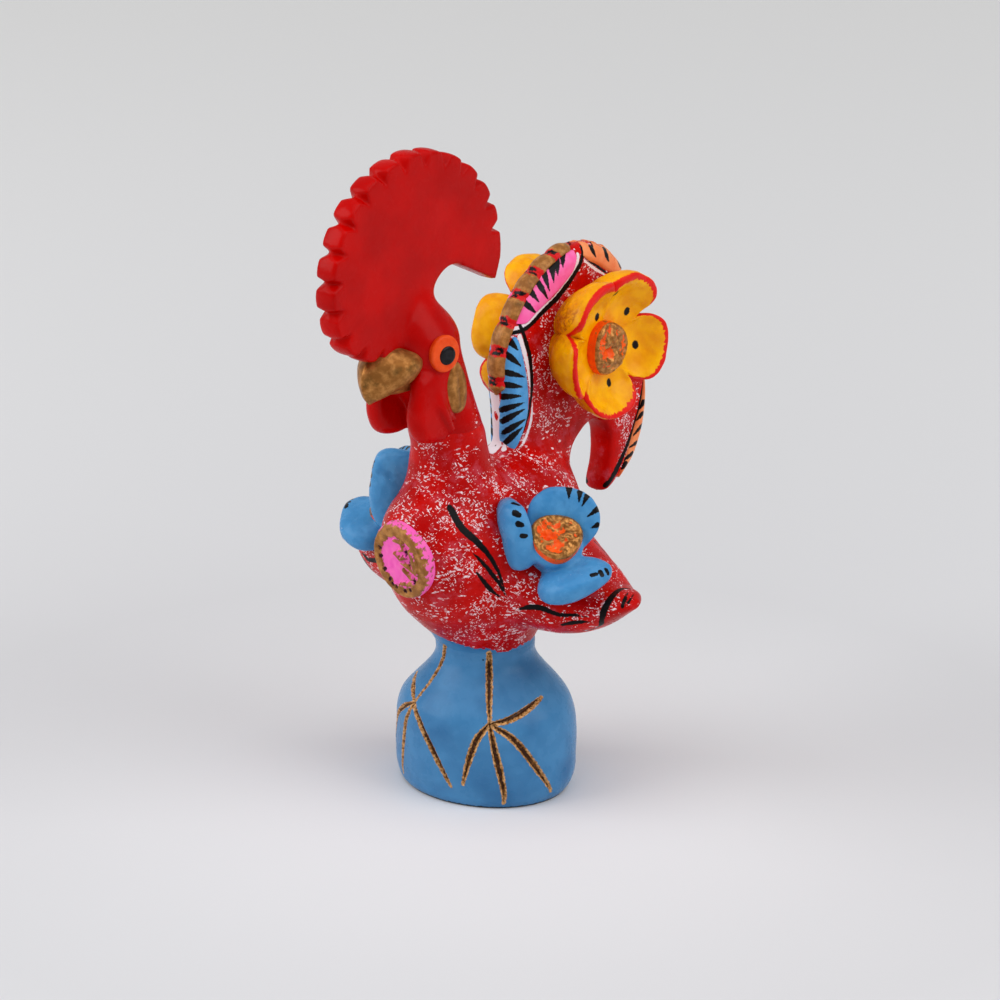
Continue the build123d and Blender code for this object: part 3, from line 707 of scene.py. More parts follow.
def add_attributes(piece, attributes):
    """Writes each named list of numbers on the piece's points."""
    for key, values in attributes.items():
        layer = piece.data.attributes.new(key, "FLOAT", "POINT")
        layer.data.foreach_set("value", np.asarray(values, dtype=np.float32))


def new_piece(name, part, attributes=None):
    """A Blender object with its place in its mesh, smooth faces and float attributes on its points."""
    vertices, faces = part
    mesh = bpy.data.meshes.new(name)
    mesh.from_pydata((vertices * MM).tolist(), [], faces)
    mesh.update()
    mesh.shade_smooth()
    piece = in_scene(name, mesh)
    add_attributes(piece, attributes or {})
    return piece


def mesh_vectors(mesh, key):
    """One vector a point of a mesh: co is its place in metres, normal its outward direction."""
    vectors = np.empty(len(mesh.vertices) * 3, dtype=np.float32)
    mesh.vertices.foreach_get(key, vectors)
    return vectors.reshape(-1, 3).astype(float)


def mesh_points(mesh):
    return mesh_vectors(mesh, "co") / MM


def set_mesh_points(mesh, points):
    mesh.vertices.foreach_set("co", (points * MM).astype(np.float32).ravel())
    mesh.update()


def relaxed(points, edges, weights, rounds):
    """Each round moves every point towards the middle of its neighbours, by its own weight."""
    count = len(points)
    ends = np.concatenate([edges[:, 0], edges[:, 1]])
    others = np.concatenate([edges[:, 1], edges[:, 0]])
    neighbours = np.bincount(ends, minlength=count)
    share = (weights / np.maximum(neighbours, 1))[:, None]
    for _ in range(rounds):
        middle = np.empty_like(points)
        for axis in range(3):
            middle[:, axis] = np.bincount(ends, weights=points[others, axis], minlength=count)
        points = points * (1 - weights)[:, None] + middle * share
    return points


def cast_skin(name, parts, voxel, light_rounds, soft=None, soft_rounds=0):
    """One skin round several overlapping forms, as a casting has: voxel remesh, then smoothing.

    soft(points) gives each point a weight from 0 to 1; heavy smoothing there leaves a fillet.
    """
    rough = new_piece(f"{name}_rough", merged(parts))
    remesh = rough.modifiers.new("skin", "REMESH")
    remesh.mode = "VOXEL"
    remesh.voxel_size = voxel * MM
    bpy.context.view_layer.update()
    evaluated = rough.evaluated_get(bpy.context.evaluated_depsgraph_get())
    mesh = bpy.data.meshes.new_from_object(evaluated)
    bpy.data.objects.remove(rough)
    edges = np.empty(len(mesh.edges) * 2, dtype=np.int64)
    mesh.edges.foreach_get("vertices", edges)
    edges = edges.reshape(-1, 2)
    points = mesh_points(mesh)
    if soft is not None:
        points = relaxed(points, edges, soft(points), soft_rounds)
    points = relaxed(points, edges, np.full(len(points), 0.6), light_rounds)
    set_mesh_points(mesh, points)
    mesh.name = name
    mesh.shade_smooth()
    return in_scene(name, mesh)


def hand_wavy(piece, waves):
    """Pushes a skin in and out along its normals by soft random waves: (size, height, seed) each."""
    mesh = piece.data
    points = mesh_points(mesh)
    push = np.zeros(len(points))
    for size, height, seed in waves:
        push += height * value_noise(points, size, seed)
    set_mesh_points(mesh, points + mesh_vectors(mesh, "normal") * push[:, None])


# The camera's rays, for marks whose place is named in the photograph's pixels

def direction(azimuth, elevation):
    """The way out from the figure: degrees round from its front, and degrees above the horizon."""
    turn = math.radians(azimuth)
    rise = math.radians(elevation)
    return np.array([math.sin(turn) * math.cos(rise), -math.cos(turn) * math.cos(rise), math.sin(rise)])


def camera_axes():
    """The camera's place and its right, up and backward directions."""
    back = direction(camera_azimuth, camera_elevation)
    azimuth = math.radians(camera_azimuth)
    right = np.array([math.cos(azimuth), math.sin(azimuth), 0.0])
    up = np.cross(back, right)
    place = np.array(camera_target) + back * camera_distance
    return place, right, up, back


def skin_tree(piece):
    points = mesh_points(piece.data)
    return BVHTree.FromPolygons(points.tolist(), [tuple(face.vertices) for face in piece.data.polygons])


def landed(tree, pixels):
    """Where the camera's rays through the named pixels first meet a skin, and which pixels do."""
    place, right, up, back = camera_axes()
    hits = []
    kept = []
    for number, (across, down) in enumerate(pixels):
        ray = (
            -back
            + right * (across - frame_pixels / 2) / focal_pixels
            - up * (down - frame_pixels / 2) / focal_pixels
        )
        hit = tree.ray_cast(Vector(place), Vector(ray).normalized())[0]
        if hit is not None:
            hits.append(tuple(hit))
            kept.append(number)
    return np.array(hits), kept


def strokes_distance(tree, points, strokes):
    """Distance to the nearest brush stroke painted from the camera: pixels and half widths of each."""
    nearest = np.full(len(points), far_away)
    for pixels, half_widths in strokes:
        length = np.linalg.norm(np.diff(np.array(pixels, float), axis=0), axis=1).sum()
        count = int(length / stroke_step_pixels) + 3
        path, kept = landed(tree, along(pixels, count))
        wide = spread_widths(half_widths, count)
        stroke = brush_distance(points, path, wide[kept], longest_step=stroke_longest_step)
        nearest = np.minimum(nearest, stroke)
    return nearest


# Forms

def ring_stack(rings, rows, sides):
    """Level ovals through a table of height, half width, front and back: X = w cos t, Y = m + d sin t."""
    rings = np.asarray(rings, float)
    heights = np.linspace(rings[0, 0], rings[-1, 0], rows)
    half_width, front, back = through(rings, heights).T
    turn = np.linspace(0, 2 * math.pi, sides, endpoint=False)
    x = half_width[:, None] * np.cos(turn)
    y = (front + back)[:, None] / 2 + (back - front)[:, None] / 2 * np.sin(turn)
    z = np.broadcast_to(heights[:, None], x.shape)
    return np.stack([x, y, z], axis=-1)


def wing_form():
    """Upright ovals along the wing; the last rows close in quickly, so that the tip is round."""
    sections = np.asarray(wing_sections, float)
    spread = np.sin(np.linspace(0, math.pi / 2, 60))
    places = sections[0, 0] + (sections[-1, 0] - sections[0, 0]) * spread
    chord, height, middle_y, middle_z = through(sections, places).T
    turn = np.linspace(0, 2 * math.pi, 72, endpoint=False)
    y = middle_y[:, None] + chord[:, None] * np.cos(turn)
    z = middle_z[:, None] + height[:, None] * np.sin(turn)
    x = np.broadcast_to(places[:, None], y.shape)
    return closed_rings(np.stack([x, y, z], axis=-1))


def inset_outline(outline, inset):
    """A closed outline moved inwards along its own normals, by one length or by one a point."""
    tangent = np.roll(outline, -1, axis=0) - np.roll(outline, 1, axis=0)
    normal = np.stack([tangent[:, 1], -tangent[:, 0]], axis=1)
    normal /= np.linalg.norm(normal, axis=1)[:, None]
    x, y = outline.T
    area = np.sum(x * np.roll(y, -1) - y * np.roll(x, -1))
    return outline - normal * np.broadcast_to(inset, len(outline))[:, None] * np.sign(area)


def rounded_plate(outline, middle_x, half_thickness, edge_round, layers=13):
    """A plate in the side view with rounded edges: X = h sin t, moved in by r (1 - cos t)."""
    turn = np.linspace(-math.pi / 2, math.pi / 2, layers)
    stack = []
    for angle in turn:
        flat = inset_outline(outline, edge_round * (1 - math.cos(angle)))
        x = np.full(len(flat), middle_x + half_thickness * math.sin(angle))
        stack.append(np.column_stack([x, flat]))
    return closed_plate(np.array(stack))


def comb_outline(inset, out):
    """The comb's outline, moved in by inset: toothed crest, then scoop and tip.

    The crest's radius is the lower of a row of shallow scallops and of V-shaped notches. The
    notches are cut from the faces, so they are deeper and steeper as out nears 1.
    """
    per_tooth = 20
    step = np.linspace(0, comb_tooth_count, comb_tooth_count * per_tooth + 1)
    angle = comb_first_notch + step * comb_tooth_pitch
    phase = (angle - comb_first_notch) / comb_tooth_pitch
    lean = 0.5 + 0.14 * np.abs(np.cos(np.radians(angle)))
    part = phase - np.floor(phase)
    part = np.where(part < lean, 0.5 * part / lean, 0.5 + 0.5 * (part - lean) / (1 - lean))
    part = np.where(phase < 0.5, 0.5, part)
    pull = 1 - 0.2 * smooth_step(200, 250, angle)
    arc = np.radians(comb_tooth_pitch) * comb_half_length
    from_notch = np.minimum(part, 1 - part) * arc
    crest = -comb_scallop_depth * (1 - np.sin(math.pi * part)) - inset
    notch_depth = comb_notch_depth + (comb_notch_depth_at_face - comb_notch_depth) * out ** 1.4
    slope = comb_notch_slope + (comb_notch_slope_at_face - comb_notch_slope) * out
    notch = slope * from_notch - notch_depth
    depth = np.minimum(crest, notch)
    turn = np.radians(angle)
    y = comb_middle[0] + (comb_half_length * pull + depth) * np.cos(turn)
    z = comb_middle[1] + (comb_half_height * pull + depth) * np.sin(turn)
    crest_points = np.column_stack([y, z])
    mouth = np.radians(np.linspace(180, comb_scoop_mouth, 24))
    radius = comb_scoop_radius + 0.6 * inset
    scoop = np.column_stack([
        comb_scoop_middle[0] + radius * np.cos(mouth),
        comb_scoop_middle[1] + radius * np.sin(mouth),
    ])
    tip = np.array([comb_tip]) + (-0.5 * inset, 0.7 * inset)
    under = np.linspace(scoop[-1], tip[0], 14)[1:]
    rear = np.linspace(tip[0], crest_points[0], 8)[1:-1]
    root = np.linspace(crest_points[-1], comb_root_front, 8)[1:]
    inner = np.linspace(comb_root_front, comb_root_back, 8)[1:]
    rise = np.linspace(comb_root_back, scoop[0], 10)[1:-1]
    return np.concatenate([crest_points, root, inner, rise, scoop, under, rear])


def comb_form():
    """The comb's outlines across its thickness; the edge band is rounder towards the faces."""
    across = np.sin(np.linspace(-math.pi / 2, math.pi / 2, 17))
    stack = []
    for share in across:
        inset = comb_edge_round * (1 - math.sqrt(max(0, 1 - share * share * 0.96)))
        flat = comb_outline(inset, abs(share))
        stack.append(np.column_stack([np.full(len(flat), share * comb_half_thickness), flat]))
    return closed_plate(np.array(stack))


def pebble(half_sizes, squareness=2.0, rows=40, sides=64):
    """A closed rounded block: a sphere stretched to its half sizes, with flatter sides when squarer."""
    rise = np.linspace(-math.pi / 2, math.pi / 2, rows + 2)[1:-1]
    turn = np.linspace(0, 2 * math.pi, sides, endpoint=False)
    x = np.cos(rise)[:, None] * np.cos(turn)
    y = np.cos(rise)[:, None] * np.sin(turn)
    z = np.sin(rise)[:, None] * np.ones_like(turn)
    points = np.stack([x, y, z], axis=-1)
    size = (np.abs(points) ** squareness).sum(axis=-1, keepdims=True) ** (1 / squareness)
    return points / size * np.asarray(half_sizes)


def petal_form(length, width, thickness, cup, curl, outline):
    """A thick petal on its board, root at the origin: a flat pebble bent up along and across.

    The outline gives its squareness and how much it narrows at its root and at its tip.
    """
    squareness, root_narrowing, tip_narrowing = outline
    points = pebble((length / 2, width / 2, thickness / 2), squareness)
    x, y, z = points[..., 0], points[..., 1], points[..., 2]
    along_share = x / (length / 2)
    across_share = y / (width / 2)
    at_tip = smooth_step(-0.3, 1.0, along_share)
    narrow = (1 - root_narrowing * smooth_step(0.1, -1.0, along_share)) * (1 - tip_narrowing * at_tip)
    z = z * (1 - 0.6 * tip_narrowing * at_tip)
    z = z + cup * across_share ** 2 + curl * (along_share + 1) ** 2 / 4
    return np.stack([x + length / 2, y * narrow, z], axis=-1)


def rod_form(path, radii, sides=20, count=40):
    """A round rod along a smooth path, its radius changing smoothly from end to end."""
    table = np.column_stack([np.asarray(path, float), np.asarray(radii, float)])
    line = along(table, count)
    middle, radius = line[:, :3], line[:, 3]
    tangent = np.gradient(middle, axis=0)
    tangent /= np.linalg.norm(tangent, axis=1)[:, None]
    side = np.cross(tangent, (0.3, 0.2, 0.9))
    side /= np.linalg.norm(side, axis=1)[:, None]
    over = np.cross(tangent, side)
    turn = np.linspace(0, 2 * math.pi, sides, endpoint=False)
    ring = side[:, None] * np.cos(turn)[None, :, None] + over[:, None] * np.sin(turn)[None, :, None]
    return closed_rings(middle[:, None] + ring * radius[:, None, None])


def turned_form(profile, sides=64, rows=40, half_sizes=(1.0, 1.0)):
    """A profile of radius and height turned round the board's axis, stretched to an oval."""
    radius, height = along(np.asarray(profile, float), rows).T
    turn = np.linspace(0, 2 * math.pi, sides, endpoint=False)
    x = radius[:, None] * np.cos(turn) * half_sizes[0]
    y = radius[:, None] * np.sin(turn) * half_sizes[1]
    z = np.broadcast_to(height[:, None], x.shape)
    return np.stack([x, y, z], axis=-1)


def tail_rounding(points):
    """How far the tail's edge is rounded: widely outside, and little inside the hook."""
    far = np.hypot(points[:, 0] - hook_middle[0], points[:, 1] - hook_middle[1])
    return hook_edge_round + (tail_edge_round - hook_edge_round) * smooth_step(8.4, 10.6, far)


def tail_surface(points):
    """Half thickness of the tail plate at places in the side view, from their distance to its edge."""
    outline = along(tail_outline, 400, closed=True)
    gap = np.full(len(points), far_away)
    for start in range(0, len(outline), 40):
        some = outline[start:start + 40]
        gap = np.minimum(gap, np.linalg.norm(points[:, None] - some[None], axis=2).min(axis=1))
    left = np.clip(1 - gap / tail_rounding(points), 0, 1)
    return tail_half_thickness * np.sqrt(1 - left * left)


def leaf_place(outer, inner, u, v):
    """A place on a feather leaf in the side view: u from tip to tip, v from outer to inner edge."""
    rows = 200
    outer_line = along(outer, rows)
    inner_line = along(inner, rows)
    at = u * (rows - 1)
    steps = np.arange(rows)
    first = np.column_stack([np.interp(at, steps, outer_line[:, k]) for k in (0, 1)])
    second = np.column_stack([np.interp(at, steps, inner_line[:, k]) for k in (0, 1)])
    return first + (second - first) * v[:, None]


def leaf_form(outer, inner, rows=110, across=34):
    """A raised leaf that follows the tail's face: a low dome across and along, closed behind."""
    u = 0.5 - 0.5 * np.cos(np.linspace(0.02, math.pi - 0.02, rows))
    v = 0.5 - 0.5 * np.cos(np.linspace(0, math.pi, across))
    grid_u, grid_v = np.meshgrid(u, v, indexing="ij")
    flat = leaf_place(outer, inner, grid_u.ravel(), grid_v.ravel())
    base = tail_surface(flat)
    dome = 1 - (2 * grid_v.ravel() - 1) ** 6
    dome *= np.sin(math.pi * np.clip(grid_u.ravel(), 0.02, 0.98)) ** 0.3
    front_x = base + leaf_stand * dome
    front = np.column_stack([front_x, flat]).reshape(rows, across, 3)
    back = np.column_stack([np.maximum(base - leaf_sink, 0.2), flat]).reshape(rows, across, 3)
    return closed_rings(np.concatenate([front, back[:, ::-1]], axis=1))


def bead_form():
    """A band of beads over the tail's rim: an oval section whose height swells once a bead."""
    line = along(bead_path, 320)
    tangent = np.gradient(line, axis=0)
    length = np.concatenate([[0], np.cumsum(np.linalg.norm(np.diff(line, axis=0), axis=1))])
    tangent /= np.linalg.norm(tangent, axis=1)[:, None]
    normal = np.column_stack([-tangent[:, 1], tangent[:, 0]])
    swell = np.abs(np.cos(math.pi * length / bead_pitch)) ** 0.6
    ends = np.minimum(smooth_step(0, 1.5, length), smooth_step(0, 2.5, length[-1] - length))
    stand = 0.50 * swell - 0.40
    turn = np.linspace(0, 2 * math.pi, 28, endpoint=False)
    half = bead_half_width * (0.86 + 0.14 * swell) * (0.3 + 0.7 * ends)
    x = half[:, None] * np.cos(turn)
    middle = stand * ends - 0.4 * (1 - ends)
    radial = middle[:, None] + 0.8 * np.sin(turn) - 0.25 * (x / bead_half_width) ** 2
    y = line[:, :1] + normal[:, :1] * radial
    z = line[:, 1:] + normal[:, 1:] * radial
    part = closed_rings(np.stack([x, y, z], axis=-1))
    phase = (length + bead_pitch / 2) % bead_pitch - bead_pitch / 2
    gold = np.repeat(np.abs(phase) - bead_gold_half_length, len(turn))
    touch = np.repeat(np.abs(np.abs(phase) - bead_gold_half_length - 0.5) - 0.35, len(turn))
    side = (x / bead_half_width).ravel()
    drift = np.repeat(np.sin(length * 1.7), len(turn))
    black = np.maximum(touch, np.abs(side - 0.35 * drift) - 0.45)
    return part, {"gold": with_ends(gold), "black": with_ends(black)}


def petal_placed(petal):
    """A thick petal in its place: root, way to the rim, and the side that faces the flower's middle."""
    length, width, thickness = petal["size"]
    board = petal_form(length, width, thickness, petal["cup"], petal["curl"], petal["outline"])
    return closed_rings(placed(board, petal["root"], petal["rim_way"], petal["inner"]))


def crumple(points, seed, size, height):
    """Folds like crumpled foil: ridges where a soft random wave crosses zero."""
    ridges = 1 - np.abs(value_noise(points, size, seed)) * 2.2
    fine = 1 - np.abs(value_noise(points, size * 0.45, seed + 1)) * 2.2
    return height * (ridges + 0.45 * fine)


# Materials

def colour(hex_code):
    """An sRGB hex value as linear red, green, blue and alpha."""
    values = [int(hex_code[i:i + 2], 16) / 255 for i in (1, 3, 5)]
    linear = [v / 12.92 if v <= 0.04045 else ((v + 0.055) / 1.055) ** 2.4 for v in values]
    return (*linear, 1.0)


def feed(tree, socket, value):
    """Links another node's output to a socket, or sets the socket's own value."""
    if isinstance(value, bpy.types.NodeSocket):
        tree.links.new(value, socket)
    else:
        socket.default_value = value


def add_node(tree, kind, settings=None, inputs=None):
    """Adds a node, sets its properties, and fills or links its sockets."""
    node = tree.nodes.new(kind)
    for key, value in (settings or {}).items():
        setattr(node, key, value)
    for key, value in (inputs or {}).items():
        feed(tree, node.inputs[key], value)
    return node


def object_place(tree):
    return add_node(tree, "ShaderNodeTexCoord").outputs["Object"]


def noise(tree, grain, detail=2.0, rough=0.5, output="Fac"):
    """Noise whose blobs are about grain millimetres across."""
    return add_node(
        tree,
        "ShaderNodeTexNoise",
        inputs={
            "Vector": object_place(tree),
            "Scale": 1 / (grain * MM),
            "Detail": detail,
            "Roughness": rough,
        },
    ).outputs[output]


def cells(tree, place, size):
    """How far a place is from the nearest of scattered points about size millimetres apart."""
    return add_node(
        tree,
        "ShaderNodeTexVoronoi",
        inputs={"Vector": place, "Scale": 1 / (size * MM), "Randomness": 1.0},
    ).outputs["Distance"]


def span(tree, value, low, high, out_low=0.0, out_high=1.0):
    """A value between low and high, spread over the output's range and held at its ends."""
    return add_node(
        tree,
        "ShaderNodeMapRange",
        inputs={
            "Value": value,
            "From Min": low,
            "From Max": high,
            "To Min": out_low,
            "To Max": out_high,
        },
    ).outputs["Result"]


def math_node(tree, operation, first, second=0.0):
    return add_node(
        tree, "ShaderNodeMath", {"operation": operation}, {0: first, 1: second}
    ).outputs[0]


def over(tree, under_colour, over_colour, cover):
    """One paint over another, where cover is 1."""
    return add_node(
        tree, "ShaderNodeMix", {"data_type": "RGBA"}, {0: cover, 6: under_colour, 7: over_colour}
    ).outputs[2]


def attribute_value(tree, attribute):
    return add_node(tree, "ShaderNodeAttribute", {"attribute_name": attribute}).outputs["Fac"]


def painted(tree, attribute, edge=0.06, wobble=0.0, grain=0.6):
    """1 inside a painted area whose signed distance in millimetres is held by an attribute."""
    value = attribute_value(tree, attribute)
    if wobble:
        shake = span(tree, noise(tree, grain, 3.0), 0.3, 0.7, -wobble, wobble)
        value = math_node(tree, "ADD", value, shake)
    return span(tree, value, edge, -edge)


def gloss_paint(name, build, roughness, bump=0.03, grain=0.9, metallic=0.0, specular=0.15):
    """Glossy brush paint on cast resin, with faint waves in its film.

    build(tree) gives the colour, or the colour and how much of each place is metal.
    """
    material = bpy.data.materials.new(name)
    material.use_nodes = True
    tree = material.node_tree
    shader = tree.nodes["Principled BSDF"]
    result = build(tree)
    base, metal = result if isinstance(result, tuple) else (result, metallic)
    sheen = span(tree, noise(tree, 2.5, 3.0), 0.35, 0.65, roughness[0], roughness[1])
    waves = noise(tree, grain, 4.0, 0.55)
    relief = add_node(
        tree,
        "ShaderNodeBump",
        inputs={"Height": waves, "Distance": bump * MM, "Strength": 1.0},
    )
    for key, value in (
        ("Base Color", base),
        ("Metallic", metal),
        ("Roughness", sheen),
        ("Normal", relief.outputs["Normal"]),
        ("IOR", 1.5),
        ("Specular IOR Level", specular),
    ):
        feed(tree, shader.inputs[key], value)
    return material


red_head = colour("#C20301")
red_head_dark = colour("#B00201")
red_body = colour("#B20504")
red_body_bright = colour("#CA0803")
red_scuff = colour("#CC5566")
chip_white = colour("#F4E0E6")
foot_blue = colour("#3F7CAE")
foot_blue_pale = colour("#4A88BA")
foot_blue_deep = colour("#3770A2")
ink_black = colour("#0C0A0C")
gold_pale = colour("#C4884A")
gold_paint_colour = colour("#905C2A")
gold_deep = colour("#6A4A22")
orange_bright = colour("#FF6014")
pink_bright = colour("#FF60C2")
yellow_warm = colour("#FFB800")
yellow_deep = colour("#F09C00")
rim_red = colour("#E41810")
border_white = colour("#EDE4EA")
red_head_worn = colour("#DA3028")
# Dark blue dots painted as the shade in the foot's bubble pits
foot_pit_shade_blue = colour("#15304A")
# Dark blue for the painted contact shade along the foot's lowest edge
foot_rim_shade_colour = colour("#14283A")
stroke_bronze = colour("#8A5A26")
stroke_bronze_pale = colour("#E4B074")
groove_brown = colour("#3A1C08")
groove_brown_pale = colour("#7A4C1E")
eye_orange = colour("#E4420C")
eye_orange_pale = colour("#F0541C")
ink_black_pale = colour("#1C1A1E")
petal_blue_soft = colour("#4088C0")
petal_blue_pale = colour("#5096CC")
petal_blue_deep = colour("#2C6CA4")
petal_chip = colour("#DCE4F0")
yellow_brown = colour("#B06408")
yellow_dirt = colour("#A8480C")
orange_deep = colour("#F05014")
feather_blue = colour("#4C9AD8")
feather_blue_pale = colour("#5CA8E2")
feather_pink = colour("#FC5CA6")
feather_pink_pale = colour("#FC74B4")
feather_orange = colour("#F0824C")
feather_orange_pale = colour("#F49660")
bead_red = colour("#D21418")
pink_pale = colour("#FF6EC0")
# Darkened pink painted in the plaque's pits as their shade
plaque_pit_shade = colour("#3A1020")


def streaky(tree, first, second, grain=4.0):
    """Two shades of one paint, mixed in soft clouds."""
    return over(tree, first, second, span(tree, noise(tree, grain, 3.0), 0.35, 0.65))


def head_red(tree):
    """Clean red on head and comb; the neck below takes up the body's white chips."""
    base = streaky(tree, red_head, red_head_dark, 9.0)
    worn = span(tree, noise(tree, 1.1, 4.0, 0.7), 0.68, 0.76, 0.0, 0.25)
    base = over(tree, base, red_head_worn, worn)
    flecked = math_node(tree, "MULTIPLY", flecks(tree), painted(tree, "flecked", 1.0, 1.0, 2.0))
    return over(tree, base, chip_white, flecked)


def dashes(tree, turn, size, limit):
    """Short worn scratches: thin flakes in one direction, bent by a soft wave and cut by the skin."""
    wave = noise(tree, 1.6, output="Color")
    bend = add_node(tree, "ShaderNodeVectorMath", {"operation": "SCALE"}, {0: wave, "Scale": 1.1 * MM})
    bent = add_node(
        tree, "ShaderNodeVectorMath", {"operation": "ADD"}, {0: object_place(tree), 1: bend.outputs[0]}
    )
    drawn_out = add_node(
        tree,
        "ShaderNodeMapping",
        {"vector_type": "TEXTURE"},
        {"Vector": bent.outputs[0], "Rotation": turn, "Scale": (1.0, 3.4, 3.4)},
    )
    away = cells(tree, drawn_out.outputs[0], size)
    return span(tree, math_node(tree, "SUBTRACT", limit, away), 0.0, 0.05)


def flecks(tree):
    """White chips: scratches of several directions and sizes that crowd together in patches."""
    patch = span(tree, noise(tree, 5.0, 3.0), 0.34, 0.66)
    fine_limit = span(tree, patch, 0.15, 0.85, 0.03, 0.34)
    cover = dashes(tree, (0.0, 0.9, 0.4), 0.28, fine_limit)
    cover = math_node(tree, "MAXIMUM", cover, dashes(tree, (0.0, -0.7, 1.2), 0.34, fine_limit))
    cluster = span(tree, noise(tree, 3.0, 2.0), 0.46, 0.62, 0.0, 0.36)
    cover = math_node(tree, "MAXIMUM", cover, dashes(tree, (0.0, 1.5, -0.6), 0.60, cluster))
    worn = span(tree, noise(tree, 0.4, 3.0, 0.7), 0.38, 0.56, 0.15, 1.0)
    return math_node(tree, "MULTIPLY", cover, worn)


def foot_blue_mix(tree):
    """Clouded blue with painted shade of small bubble pits in patches, as a casting has; the pits are dark
    dots only, not cut into the skin.
    """
    base = streaky(tree, foot_blue, foot_blue_pale, 5.0)
    base = over(tree, base, foot_blue_deep, span(tree, noise(tree, 9.0, 2.0), 0.52, 0.72))
    # Painted shade: dark dots for bubble pits that the skin does not have
    pits = cells(tree, object_place(tree), 2.6)
    patch = span(tree, noise(tree, 5.0, 2.0), 0.50, 0.62, 0.0, 0.10)
    pit = span(tree, math_node(tree, "SUBTRACT", patch, pits), 0.0, 0.03)
    return over(tree, base, foot_pit_shade_blue, pit)


def gold_mix(tree):
    """Bronze paint, lighter where it is rubbed and darker where it lies thick."""
    base = over(tree, gold_paint_colour, gold_pale, span(tree, noise(tree, 1.4, 4.0, 0.6), 0.42, 0.68))
    return over(tree, base, gold_deep, span(tree, noise(tree, 2.3, 4.0, 0.6), 0.55, 0.75))


def body_red(tree):
    """Deep red with pink scuffs and white chips; the chips stay off the inside of the hook."""
    base = over(tree, red_body, red_body_bright, span(tree, noise(tree, 6.0, 3.0), 0.42, 0.62))
    scuffs = span(tree, noise(tree, 3.2, 5.0, 0.7), 0.52, 0.74, 0.0, 0.65)
    base = over(tree, base, red_scuff, scuffs)
    flecked = math_node(tree, "MULTIPLY", flecks(tree), painted(tree, "plain", 0.8, 0.8, 2.0))
    return over(tree, base, chip_white, flecked)


def stroke_gold(tree, base):
    """Incised strokes: bright gold along the edges and dark brown in the groove."""
    edge = over(tree, stroke_bronze, stroke_bronze_pale, span(tree, noise(tree, 0.5, 4.0), 0.38, 0.62))
    base = over(tree, base, edge, painted(tree, "gold", 0.05, 0.12, 0.4))
    groove = over(tree, groove_brown, groove_brown_pale, span(tree, noise(tree, 0.7, 4.0), 0.50, 0.66))
    return over(tree, base, groove, painted(tree, "groove", 0.06, 0.14, 0.4))


def body_paint(tree):
    """Flecked red, blue below the waist line, black brush strokes and the feathers' white borders."""
    base = body_red(tree)
    base = over(tree, base, foot_blue_mix(tree), painted(tree, "below_waist", 0.05, 0.35, 0.8))
    base = stroke_gold(tree, base)
    base = over(tree, base, border_white, painted(tree, "white", 0.05, 0.08))
    return over(tree, base, ink_black, painted(tree, "black", 0.05, 0.08))


def foot_paint(tree):
    """Blue foot with painted contact shade along its lowest edge, and the incised birds' feet: brown in the
    grooves and gold along their edges.
    """
    base = foot_blue_mix(tree)
    # Painted contact shade: the lowest edge is darkened where the foot meets the table
    base = over(tree, base, foot_rim_shade_colour, painted(tree, "painted_rim_shade", 0.1, 0.15))
    return stroke_gold(tree, base)


material_head = gloss_paint("glossy_red_paint", head_red, (0.20, 0.32), 0.02, 1.2, specular=0.08)
material_body = gloss_paint("flecked_red_paint", body_paint, (0.25, 0.42), 0.05, 0.7, specular=0.08)
material_foot = gloss_paint("blue_foot_paint", foot_paint, (0.22, 0.34), 0.03, 1.0)
material_gold = gloss_paint("gold_bronze_paint", gold_mix, (0.34, 0.5), 0.06, 0.8, metallic=0.65)
material_orange = gloss_paint(
    "orange_eye_paint", lambda tree: streaky(tree, eye_orange, eye_orange_pale, 1.5), (0.2, 0.3)
)
material_black = gloss_paint(
    "black_eye_enamel", lambda tree: streaky(tree, ink_black, ink_black_pale, 1.0), (0.08, 0.14), 0.01
)


def petal_blue(tree):
    """Clouded blue with darker hollows, small white chips and black brush marks."""
    base = streaky(tree, petal_blue_soft, petal_blue_pale, 2.5)
    base = over(tree, base, petal_blue_deep, span(tree, noise(tree, 3.5, 4.0), 0.60, 0.78, 0.0, 0.7))
    chips = span(tree, noise(tree, 0.9, 4.0, 0.7), 0.70, 0.73, 0.0, 0.8)
    base = over(tree, base, petal_chip, chips)
    return over(tree, base, ink_black, painted(tree, "black", 0.05, 0.07, 0.4))


def petal_yellow(tree):
    """Warm yellow with brown smears, a red painted rim and black dots."""
    base = streaky(tree, yellow_warm, yellow_deep, 2.8)
    base = over(tree, base, yellow_brown, span(tree, noise(tree, 1.6, 5.0, 0.7), 0.66, 0.8, 0.0, 0.4))
    smears = span(tree, noise(tree, 1.2, 4.0, 0.7), 0.42, 0.6, 0.0, 0.85)
    dirt = math_node(tree, "MULTIPLY", attribute_value(tree, "dirt"), smears)
    base = over(tree, base, yellow_dirt, dirt)
    base = over(tree, base, rim_red, painted(tree, "rim", 0.10, 0.15, 0.6))
    return over(tree, base, ink_black, painted(tree, "black", 0.05, 0.07, 0.4))


def crumpled_centre(tree):
    """Orange with worn gold on the crumpled relief's heights."""
    base = streaky(tree, orange_bright, orange_deep, 1.0)
    gold = over(tree, gold_paint_colour, gold_pale, span(tree, noise(tree, 0.7, 3.0), 0.4, 0.6))
    cover = painted(tree, "gold", 0.1, 0.5, 0.9)
    return over(tree, base, gold, cover), math_node(tree, "MULTIPLY", cover, 0.55)


